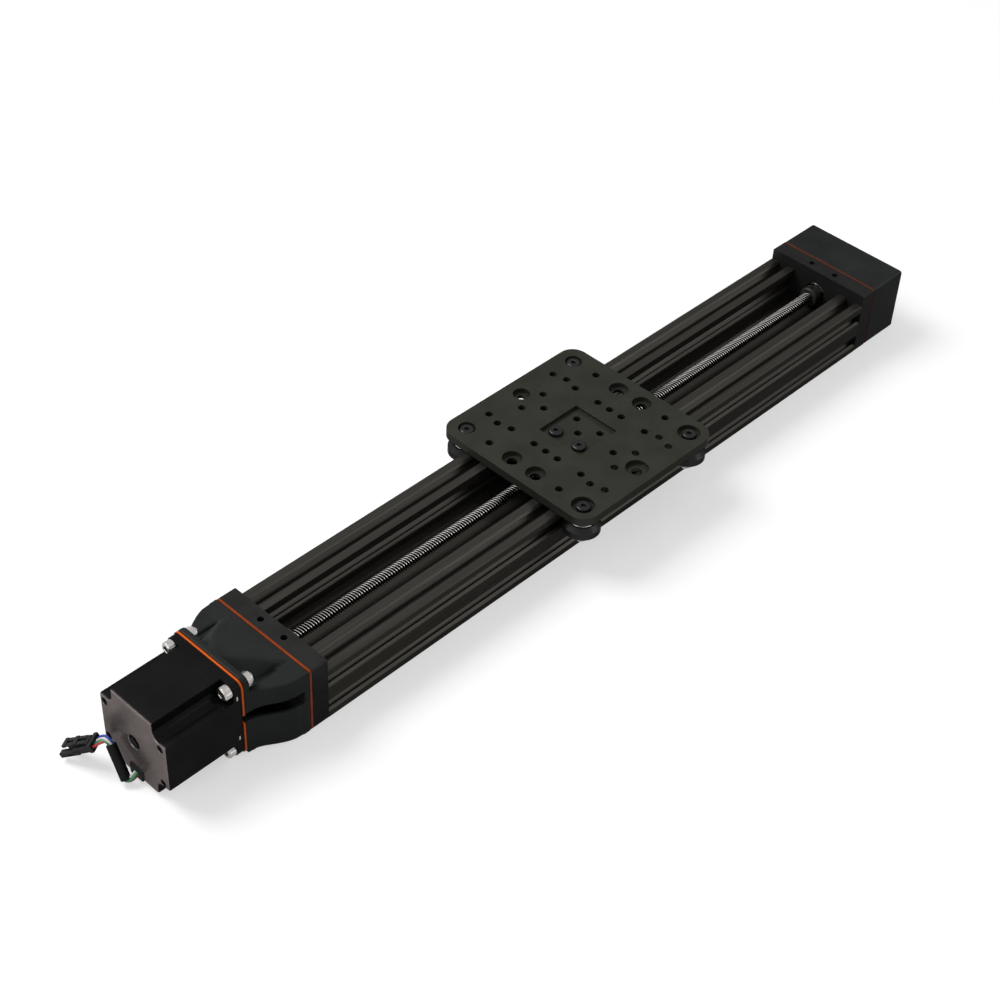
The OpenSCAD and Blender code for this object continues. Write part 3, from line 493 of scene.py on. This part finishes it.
def lathe(bm, rings, at, sides=48):
    """A closed body of stacked rings (radius, height) in millimetres, along the Z of at.

    A radius may be a function of the angle.
    """
    loops = []
    for radius, height in rings:
        loop = []
        for k in range(sides):
            t = 2 * math.pi * k / sides
            r = radius(t) if callable(radius) else radius
            point = Vector((r * math.cos(t), r * math.sin(t), height)) * MM
            loop.append(bm.verts.new(at @ point))
        loops.append(loop)
    for low, high in zip(loops, loops[1:]):
        for k in range(sides):
            j = (k + 1) % sides
            bm.faces.new((low[k], low[j], high[j], high[k]))
    bm.faces.new(list(reversed(loops[0])))
    bm.faces.new(loops[-1])


def hexagon(across):
    return lambda t: across / 2 / math.cos((t + math.pi / 6) % (math.pi / 3) - math.pi / 6)


def add_box(bm, low, high, at=Matrix.Identity(4)):
    """A box between two corners in millimetres."""
    low, high = Vector(low) * MM, Vector(high) * MM
    for v in bmesh.ops.create_cube(bm, size=1)["verts"]:
        v.co = at @ Vector(low[k] + (v.co[k] + 0.5) * (high[k] - low[k]) for k in range(3))


def carve(made, cutters):
    """Cuts the closed shapes of a bmesh out of a piece."""
    mesh = bpy.data.meshes.new("cutters")
    bmesh.ops.recalc_face_normals(cutters, faces=cutters.faces)
    cutters.to_mesh(mesh)
    cutters.free()
    tool = bpy.data.objects.new("cutters", mesh)
    bpy.context.scene.collection.objects.link(tool)
    cut = made.modifiers.new("carve", "BOOLEAN")
    cut.operation, cut.solver, cut.object = "DIFFERENCE", "EXACT", tool
    keep_result(made)
    bpy.data.objects.remove(tool)


def keep_result(made):
    """Makes what a piece's modifiers give its own mesh."""
    graph = bpy.context.evaluated_depsgraph_get()
    result = bpy.data.meshes.new_from_object(made.evaluated_get(graph))
    made.modifiers.clear()
    made.data = result


# ---- The lead: four wires in a sleeve, and its connector ----

LEAD_ROUTE = [
    (-357, -1, 6.6), (-360.5, -1.2, 5), (-363, 1.3, 3.6), (-362.5, 4.5, 7.6), (-362, 8, 12.2),
    (-361.6, 11.6, 16.7), (-361.2, 14.4, 20.2), (-361.8, 17.2, 21.9), (-362.6, 19.8, 21.2),
    (-363.6, 22.4, 19), (-364.5, 24.5, 16.5),
]
SLEEVE_D = 6.2 * MM
# Shares of the lead's length, and how far the sleeve is drawn towards a straight line.
SLEEVE_FROM, SLEEVE_TO, SLEEVE_STRAIGHT = 0.2, 0.61, 0.8
# Each wire: its radius, its distance from the lead's middle, and the bundle's turn in radians.
WIRE_R, BUNDLE_R = 0.75 * MM, 1.1 * MM
WIRE_START, WIRE_TWIST = -math.pi / 4, 1.2
# Where the wires begin to part, over what share, and their spacing at the connector in mm.
FAN_FROM, FAN_OVER, FAN_PITCH = 0.62, 0.3, 2.3


def smooth_route(points, steps):
    """Catmull-Rom curve through the points, in metres."""
    pts = [Vector(p) * MM for p in points]
    ends = [2 * pts[0] - pts[1], *pts, 2 * pts[-1] - pts[-2]]
    out = []
    for i in range(1, len(ends) - 2):
        a, b, c, d = ends[i - 1 : i + 3]
        for k in range(steps):
            t = k / steps
            out.append(
                0.5 * (2 * b + (c - a) * t + (2 * a - 5 * b + 4 * c - d) * t * t
                       + (3 * b - a - 3 * c + d) * t ** 3)
            )
    return out + [pts[-1]]


def carried_frames(points):
    """A side and an up vector at every point of a route, turning as little as they can."""
    up = Vector((0, 0, 1))
    frames = []
    for i, p in enumerate(points):
        ahead = (points[min(i + 1, len(points) - 1)] - points[max(i - 1, 0)]).normalized()
        side = ahead.cross(up).normalized()
        up = side.cross(ahead).normalized()
        frames.append((side, up))
    return frames


def add_tube(verts, faces, slots, points, frames, radii, sides, slot):
    """Adds a closed tube along the points to the lists."""
    start = len(verts)
    for p, (side, up), r in zip(points, frames, radii):
        for k in range(sides):
            t = 2 * math.pi * k / sides
            verts.append(p + r * (side * math.cos(t) + up * math.sin(t)))
    for i in range(len(points) - 1):
        for k in range(sides):
            a, b = start + i * sides + k, start + i * sides + (k + 1) % sides
            faces.append((a, a + sides, b + sides, b))
    last = start + (len(points) - 1) * sides
    faces.append(tuple(range(start, start + sides)))
    faces.append(tuple(reversed(range(last, last + sides))))
    slots += [slot] * (len(faces) - len(slots))


def add_lead():
    line = smooth_route(LEAD_ROUTE, 8)
    frames = carried_frames(line)
    verts, faces, slots = [], [], []
    count = len(line)
    for w in range(len(WIRES)):
        points = []
        for i, (p, (side, up)) in enumerate(zip(line, frames)):
            t = i / (count - 1)
            turn = WIRE_START + math.pi / 2 * w + WIRE_TWIST * t
            bundle = BUNDLE_R * (side * math.cos(turn) + up * math.sin(turn))
            fan = CONNECTOR_SIDE * (w - 1.5) * FAN_PITCH * MM
            open_out = min(max((t - FAN_FROM) / FAN_OVER, 0), 1)
            open_out = open_out * open_out * (3 - 2 * open_out)
            points.append(p + bundle.lerp(fan, open_out))
        add_tube(verts, faces, slots, points, carried_frames(points), [WIRE_R] * count, 12, w)
    first, last = int(SLEEVE_FROM * count), int(SLEEVE_TO * count)
    middle = line[first : last + 1]
    a, b = middle[0], middle[-1]
    straight = [
        p.lerp(a + (b - a) * ((p - a).dot(b - a) / (b - a).length_squared), SLEEVE_STRAIGHT)
        for p in middle
    ]
    radii = [SLEEVE_D / 2 * (1 + 0.012 * math.sin(9 * i)) for i in range(len(middle))]
    radii[0] = radii[-1] = SLEEVE_D / 2 * 0.94
    sleeve_slot = len(WIRES)
    add_tube(verts, faces, slots, straight, carried_frames(straight), radii, 24, sleeve_slot)
    mesh = bpy.data.meshes.new("lead_cord")
    mesh.from_pydata([tuple(v) for v in verts], [], faces)
    for wire in WIRES.values():
        mesh.materials.append(wire)
    mesh.materials.append(FINISH["lead_jacket"])
    mesh.polygons.foreach_set("material_index", slots)
    shade(mesh, 50)
    made = settle(
        bpy.data.objects.new("lead_cord", mesh), "frame", ["motor_lead"]
    )
    length = sum((b - a).length for a, b in zip(line, line[1:]))
    return made, line, length


CONNECTOR_AT = Vector((-364.5, 24.5, 16.5)) * MM
CONNECTOR_TURN_Y, CONNECTOR_TURN_Z = math.radians(30), math.radians(118)
CONNECTOR_FRAME = (
    Matrix.Translation(CONNECTOR_AT)
    @ Matrix.Rotation(CONNECTOR_TURN_Z, 4, "Z")
    @ Matrix.Rotation(CONNECTOR_TURN_Y, 4, "Y")
)
CONNECTOR_SIDE = CONNECTOR_FRAME.to_3x3() @ Vector((0, 1, 0))


def add_connector():
    """Plug housing on two levels, with a latch lever on top and a fork at its mouth."""
    bm = bmesh.new()
    boxes = [
        ((0, -5.5, -2.75), (2.6, 5.5, 2.75)),
        ((2.6, -5.1, -2.4), (13.5, 5.1, 1.4)),
        ((13.5, -5.1, -2.4), (22.5, -1.4, 0.9)),
        ((13.5, 1.6, -2.75), (24, 5.5, 0.4)),
        ((13.5, -1.4, -2.4), (17.5, 1.6, -1.2)),
        ((10, 4.4, -2.75), (19.5, 5.5, -0.6)),
        ((2.6, -3.4, 1.4), (4.6, 3.4, 3.3)),
        ((4.6, -3.4, 2.5), (20.5, -0.9, 3.6)),
        ((4.6, 0.7, 2.5), (20.5, 3.1, 3.6)),
        ((10.6, -3.4, 2.3), (13.4, 3.1, 4.2)),
        ((18.6, -3.4, 2.2), (21.2, 3.1, 4.0)),
    ]
    for low, high in boxes:
        add_box(bm, low, high, CONNECTOR_FRAME)
    made = finish_bmesh(
        bm, "latch_connector", [FINISH["connector_black"]], "frame",
        ["lead_connector"],
    )
    round_edges(made, 0.25)
    return made


lead, lead_line, lead_length = add_lead()
connector = add_connector()

# ---- Moulded and machined pieces ----

softened(["extrusion_rail"], 0.22, 2)
softened(["motor_spacer"], 0.8, 4)
softened(["motor_end_gasket", "idler_end_gasket"], 0.6, 4)
softened(["carriage_plate"], 0.25, 3)
softened(["motor_end_plate", "idler_end_plate"], 0.45, 3)
softened(["idler_end_cover"], 1.4, 4)
softened(["motor_end_lock_collar", "idler_end_lock_collar", "shaft_coupling"], 0.2, 2)
softened(["nut_block"], 0.35, 2)
softened(["lead_grommet"], 0.5, 3)
softened(["motor_front_bell"], 0.35, 2)

moulded("motor_mount_housing", 0.6, 5, 40, (-296.5, -269), 0.3)

# ---- The motor's rear cover, in millimetres ----

MOTOR_X = 303.0
MOTOR_END_X = 356.0
HOLE = 47.14 / 2
NOTCH_R = 6.2
MOTOR_HALF = 28.2
CASE_SCREWS = [(y * 23.9, z * 13.97) for y in (-1, 1) for z in (-1, 1)]
CORNERS = [(y * HOLE, z * HOLE) for y in (-1, 1) for z in (-1, 1)]
COVER_EDGE_R, COVER_DEPTH, EDGE_STEPS = 1.6, 10.0, 6
# What lies within this distance of the axis is the bearing's bare metal.
BARE_R = 5.3
# Slots of the rear cover: black, a lighter grey that paints light onto the back face, and bare
# steel.
BLACK, LIT_FACE_GREY, BARE = range(3)


def motor_outline(inset, steps=10):
    """Corner points of the notched square about the motor's axis, in millimetres."""
    r = NOTCH_R + inset
    quarter = [(MOTOR_HALF - inset, HOLE - r)]
    for i in range(steps + 1):
        t = math.radians(-90 - 90 * i / steps)
        quarter.append((HOLE + r * math.cos(t), HOLE + r * math.sin(t)))
    quarter.append((HOLE - r, MOTOR_HALF - inset))
    out = []
    for k in range(4):
        c, s = round(math.cos(k * math.pi / 2)), round(math.sin(k * math.pi / 2))
        out += [(a * c - b * s, a * s + b * c) for a, b in quarter]
    return out


def add_rear_cover():
    """The motor's rear cover, its back edge rounded, with the holes of the CAD node, and painted
    light on its back face.
    """
    r, depth = COVER_EDGE_R, COVER_DEPTH
    bm = bmesh.new()
    loops = []
    sections = [(-(MOTOR_END_X - depth), 0.0)]
    for i in range(EDGE_STEPS + 1):
        t = math.pi / 2 * i / EDGE_STEPS
        sections.append((-(MOTOR_END_X - r) - r * math.sin(t), r * (1 - math.cos(t))))
    for x, inset in sections:
        loops.append([
            bm.verts.new(Vector((x, a, AXIS_Z + b)) * MM) for a, b in motor_outline(inset)
        ])
    for low, high in zip(loops, loops[1:]):
        for k in range(len(low)):
            j = (k + 1) % len(low)
            bm.faces.new((low[k], low[j], high[j], high[k]))
    bm.faces.new(loops[0])
    bm.faces.new(loops[-1])
    bmesh.ops.recalc_face_normals(bm, faces=bm.faces)
    made = finish_bmesh(
        bm, "rear_cover", [FINISH["motor_black"], FINISH["motor_grey"], OILED_STEEL],
        "frame", ["motor_rear_cover"],
    )
    cutters = bmesh.new()
    at = facing((-MOTOR_END_X, 0, AXIS_Z), (-1, 0, 0))
    bore = [
        (9.52, -depth - 1), (9.52, 5 - depth), (4.6, 5 - depth), (4.6, -0.4), (5.2, 0.2), (5.2, 1),
    ]
    lathe(cutters, bore, at, 64)
    for y, z in CASE_SCREWS:
        at = facing((-MOTOR_END_X, y, AXIS_Z + z), (-1, 0, 0))
        hole = [(1.7, -depth - 1), (1.7, -3), (2.5, -3), (2.5, -0.2), (2.8, 0.1), (2.8, 1)]
        lathe(cutters, hole, at, 32)
    add_box(cutters, (-MOTOR_END_X - 1, -5.5, 0), (-MOTOR_END_X + 4, 5.5, AXIS_Z - MOTOR_HALF + 8))
    carve(made, cutters)
    # Faces that face back get the lighter grey, painted light on the back of an otherwise black
    # cover; the rest stay black, and the bore near the axis is bare steel.
    for p in made.data.polygons:
        corners = (made.data.vertices[v].co for v in p.vertices)
        reach = max(math.hypot(c.y, c.z - AXIS_Z * MM) for c in corners)
        faces_back = p.normal.x < -0.6
        p.material_index = BARE if reach < BARE_R * MM else LIT_FACE_GREY if faces_back else BLACK
    shade(made.data, 35)


add_rear_cover()

# ---- Screws and nuts, in millimetres ----

FASTENER_SIDES = 96
KNURLS, KNURL_DEPTH = 24, 0.16


def threaded_shank(d, length, pitch=0.8, cut=9.0):
    """Rings of a shank from its tip to the head, with ridges near the tip."""
    r = d / 2
    rings = [(r - 0.55, -length), (r - 0.2, 0.4 - length)]
    z = 0.4 - length
    while z < min(cut, length - 1) - length:
        rings += [(r, z + pitch * 0.4), (r, z + pitch * 0.55), (r - 0.4, z + pitch * 0.95)]
        z += pitch
    return rings + [(r - 0.05, z + 0.3), (r - 0.05, 0)]


def cap_screw(bm, at, head_d, head_h, socket, shank_d, length):
    """Knurled cap screw, placed by the underside of its head."""
    r = head_d / 2

    def knurl(t):
        return r - KNURL_DEPTH * (0.5 + 0.5 * math.cos(KNURLS * t))

    head = [
        (r - 0.35, 0), (knurl, 0.3), (knurl, head_h - 0.75), (r - 0.3, head_h - 0.35),
        (r - 0.75, head_h), (hexagon(socket + 0.5), head_h), (hexagon(socket), head_h - 0.3),
        (hexagon(socket), head_h * 0.45), (0.1, head_h * 0.3),
    ]
    lathe(bm, threaded_shank(shank_d, length) + head, at, FASTENER_SIDES)


def low_screw(bm, at, head_d, head_h, socket, shank_d, length):
    """Low cap screw with a soft shoulder, placed by the underside of its head."""
    r = head_d / 2
    head = [
        (r - 0.2, 0), (r, 0.2), (r, head_h * 0.55), (r - 0.12, head_h * 0.74),
        (r - 0.4, head_h * 0.9), (r - 0.85, head_h), (hexagon(socket + 0.5), head_h),
        (hexagon(socket), head_h - 0.25), (hexagon(socket), head_h * 0.45), (0.1, head_h * 0.36),
    ]
    lathe(bm, threaded_shank(shank_d, length) + head, at, FASTENER_SIDES)


def lock_nut(bm, at, across, height, collar):
    """Hexagon nut with chamfered corners and a domed collar away from its seat."""
    corner = hexagon(across)

    def chamfered(t):
        return min(corner(t), across / 2 * 1.05)

    top = height - collar
    rings = [
        (chamfered, 0), (corner, 0.35), (corner, top - 0.35), (chamfered, top),
        (across / 2 - 0.35, top + 0.05), (across / 2 - 0.4, top + collar * 0.6),
        (across / 2 - 0.8, height - 0.1), (across / 2 - 1.2, height), (2.5, height - 0.25),
    ]
    lathe(bm, rings, at, FASTENER_SIDES)


WHEEL_AXLES = ((-50, 50), (50, 50), (-49.5, -50), (50.5, -50))


def add_fasteners(name, body, slot, node, places, shape):
    """One piece of all the fasteners of a CAD node, one at each place."""
    bm = bmesh.new()
    for place in places:
        shape(bm, place)
    finish_bmesh(bm, name, [FINISH[slot]], body, [node], 25)


def add_screws():
    add_fasteners(
        "mount_screws", "frame", "bright_screws", "motor_mount_screws",
        [facing((-MOTOR_X - 4.8, y, AXIS_Z + z), (-1, 0, 0)) for y, z in CORNERS],
        lambda bm, at: cap_screw(bm, at, 8.5, 5, 4, 5, 16.5),
    )
    add_fasteners(
        "mount_nuts", "frame", "bright_screws", "motor_mount_nuts",
        [facing((-297, y, AXIS_Z + z), (1, 0, 0)) for y, z in CORNERS],
        lambda bm, at: lock_nut(bm, at, 8, 4.7, 1.2),
    )
    add_fasteners(
        "cover_screws", "frame", "black_screws", "end_cover_screws",
        [facing((290, y, z), (1, 0, 0)) for y in (-34.5, 34.5) for z in (5.5, 42.5)],
        lambda bm, at: cap_screw(bm, at, 8.1, 4.5, 4, 4.16, 36),
    )
    add_fasteners(
        "axle_screws", "carriage", "black_screws", "wheel_screws",
        [facing((x, y, 43.8), (0, 0, 1)) for x, y in WHEEL_AXLES],
        lambda bm, at: low_screw(bm, at, 9.5, 2.5, 3, 4.96, 26.1),
    )
    add_fasteners(
        "block_screws", "carriage", "black_screws", "nut_block_screws",
        [facing((-10, y, 44.5), (0, 0, 1)) for y in (-10, 10)],
        lambda bm, at: low_screw(bm, at, 9.5, 2.5, 3, 4.96, 21.5),
    )
    add_fasteners(
        "axle_nuts", "carriage", "bright_screws", "wheel_lock_nuts",
        [facing((x, y, 23.5), (0, 0, -1)) for x, y in WHEEL_AXLES],
        lambda bm, at: lock_nut(bm, at, 8, 5, 1.3),
    )


def add_ear_marks():
    """Two bright marks on the near side of the motor's front bell."""
    bm = bmesh.new()
    for z in (-13.1, 18.8):
        add_box(bm, (-306, -28.28, AXIS_Z + z - 1.4), (-305, -28.15, AXIS_Z + z + 1.4))
    marks = finish_bmesh(bm, "ear_marks", [FINISH["bright_screws"]], "frame")
    round_edges(marks, 0.05, 1)


add_screws()
add_ear_marks()

# ---- The lead screw's four-start thread ----

SCREW_R, SCREW_ROOT_R = 4.0, 3.05
PITCH, STARTS = 2.0, 4
# Shares of a pitch and radii: along the crest, down the flank, and along the root.
THREAD_PROFILE = [(0.0, SCREW_R), (0.2, SCREW_R), (0.42, SCREW_ROOT_R), (0.68, SCREW_ROOT_R)]
SCREW_SIDES = 40
# The screw's ends: radius over the root, length and slope of the chamfer.
TIP_RISE, CHAMFER_L, CHAMFER_SLOPE = 0.15, 1.0, 0.8
WELD = 1e-6


def add_thread():
    """The screw as one mesh: a vertex is named by its station along X and its side."""
    low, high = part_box("lead_screw")
    x0, x1 = low.x / MM, high.x / MM
    axis_z = (low.z + high.z) / 2
    sides = SCREW_SIDES
    lead_mm = PITCH * STARTS
    per_turn = STARTS * len(THREAD_PROFILE)
    count = int((x1 - x0 + lead_mm) / PITCH) + 2
    stations = [
        (x0 - lead_mm + PITCH * i + PITCH * share, r)
        for i in range(count) for share, r in THREAD_PROFILE
    ]
    verts, index, faces = [], {}, []

    def vertex(i, k):
        if (i, k) not in index:
            x, r = stations[i]
            x += lead_mm * k / sides
            inset = min(x - x0, x1 - x)
            if inset < CHAMFER_L:
                r = min(r, SCREW_ROOT_R + TIP_RISE + max(inset, 0) * CHAMFER_SLOPE)
            x = min(max(x, x0), x1)
            t = -2 * math.pi * k / sides
            index[i, k] = len(verts)
            verts.append((x * MM, r * math.sin(t) * MM, axis_z + r * math.cos(t) * MM))
        return index[i, k]

    def on(i, k):
        return vertex(i + per_turn, 0) if k == sides else vertex(i, k)

    for i in range(len(stations) - 1):
        for k in range(sides):
            wrapped = i + (per_turn if k + 1 == sides else 0)
            if wrapped + 1 >= len(stations):
                continue
            a = stations[i][0] + lead_mm * k / sides
            b = stations[i + 1][0] + lead_mm * (k + 1) / sides
            if b <= x0 or a >= x1:
                continue
            faces.append((on(i, k), on(i, k + 1), on(i + 1, k + 1), on(i + 1, k)))
    mesh = bpy.data.meshes.new("threaded_screw")
    mesh.from_pydata(verts, [], faces)
    bm = bmesh.new()
    bm.from_mesh(mesh)
    bmesh.ops.remove_doubles(bm, verts=bm.verts, dist=WELD)
    bmesh.ops.dissolve_degenerate(bm, edges=bm.edges, dist=WELD)
    bmesh.ops.holes_fill(bm, edges=bm.edges, sides=0)
    bmesh.ops.recalc_face_normals(bm, faces=bm.faces)
    bm.to_mesh(mesh)
    bm.free()
    mesh.materials.append(FINISH["screw_steel"])
    shade(mesh, 25)
    settle(bpy.data.objects.new("threaded_screw", mesh), "screw", ["lead_screw"])


add_thread()

# ---- Floor, world and lamps ----

FLOOR_SHADE = 0.52
# The floor's own light grows over this range of distances, so that it meets the white world.
FLOOR_GLOW = (0.53, 0.83)
FLOOR_FAR = (1.0, 2.6)
FLOOR_HALF, FLOOR_DROP = 6.0, 0.0002
WORLD_LIGHT = 0.32
# Name, place, target, width, depth and watts of each lamp.
LAMPS = [
    ("key", (-0.6, 1.3, 1.8), (0, 0, 0), 1.2, 1.2, 45),
    ("left", (-1.5, 0.1, 0.6), (-0.3, 0, 0.03), 0.8, 0.8, 4),
    ("strip", (0.9, -1.0, 0.8), (0, 0, 0.03), 1.4, 0.35, 3.5),
]


def seen_directly(tree, path):
    """1 for camera, glossy and transmission rays, else 0."""
    total = path.outputs["Is Camera Ray"]
    for other in ("Is Glossy Ray", "Is Transmission Ray"):
        add = tree.nodes.new("ShaderNodeMath")
        add.operation = "ADD"
        add.use_clamp = True
        tree.links.new(total, add.inputs[0])
        tree.links.new(path.outputs[other], add.inputs[1])
        total = add.outputs[0]
    return total


def add_floor():
    corners = [(x * FLOOR_HALF, y * FLOOR_HALF, 0) for x, y in ((-1, -1), (1, -1), (1, 1), (-1, 1))]
    mesh = bpy.data.meshes.new("floor")
    mesh.from_pydata(corners, [], [(0, 1, 2, 3)])
    floor = bpy.data.objects.new("floor", mesh)
    floor.location.z = -FLOOR_DROP
    bpy.context.scene.collection.objects.link(floor)
    material = bpy.data.materials.new("studio_floor")
    material.use_nodes = True
    tree = material.node_tree
    tree.nodes.clear()
    out = tree.nodes.new("ShaderNodeOutputMaterial")
    diffuse = tree.nodes.new("ShaderNodeBsdfDiffuse")
    diffuse.inputs["Color"].default_value = (FLOOR_SHADE, FLOOR_SHADE, FLOOR_SHADE, 1)
    glow = tree.nodes.new("ShaderNodeEmission")
    path = tree.nodes.new("ShaderNodeLightPath")
    seen = seen_directly(tree, path)
    place = tree.nodes.new("ShaderNodeTexCoord")
    distance = tree.nodes.new("ShaderNodeVectorMath")
    distance.operation = "LENGTH"
    tree.links.new(place.outputs["Object"], distance.inputs[0])
    level = tree.nodes.new("ShaderNodeMapRange")
    for key, value in zip(("From Min", "From Max", "To Min", "To Max"), (*FLOOR_FAR, *FLOOR_GLOW)):
        level.inputs[key].default_value = value
    tree.links.new(distance.outputs["Value"], level.inputs["Value"])
    scale = tree.nodes.new("ShaderNodeMath")
    scale.operation = "MULTIPLY"
    tree.links.new(level.outputs[0], scale.inputs[1])
    tree.links.new(seen, scale.inputs[0])
    tree.links.new(scale.outputs[0], glow.inputs["Strength"])
    both = tree.nodes.new("ShaderNodeAddShader")
    tree.links.new(diffuse.outputs[0], both.inputs[0])
    tree.links.new(glow.outputs[0], both.inputs[1])
    tree.links.new(both.outputs[0], out.inputs["Surface"])
    mesh.materials.append(material)


def add_world():
    world = bpy.data.worlds.new("studio")
    bpy.context.scene.world = world
    world.use_nodes = True
    tree = world.node_tree
    background = tree.nodes["Background"]
    background.inputs["Color"].default_value = (1, 1, 1, 1)
    path = tree.nodes.new("ShaderNodeLightPath")
    seen = seen_directly(tree, path)
    level = tree.nodes.new("ShaderNodeMapRange")
    level.inputs["To Min"].default_value = WORLD_LIGHT
    level.inputs["To Max"].default_value = 1.0
    tree.links.new(seen, level.inputs["Value"])
    tree.links.new(level.outputs[0], background.inputs["Strength"])


def add_lamp(name, at, target, width, depth, power):
    data = bpy.data.lights.new(name, "AREA")
    data.shape, data.size, data.size_y, data.energy = "RECTANGLE", width, depth, power
    lamp = bpy.data.objects.new(name, data)
    lamp.location = at
    lamp.rotation_euler = (Vector(target) - Vector(at)).to_track_quat("-Z", "Y").to_euler()
    bpy.context.scene.collection.objects.link(lamp)


add_floor()
add_world()
for lamp in LAMPS:
    add_lamp(*lamp)

bpy.context.scene.view_settings.view_transform = "Standard"
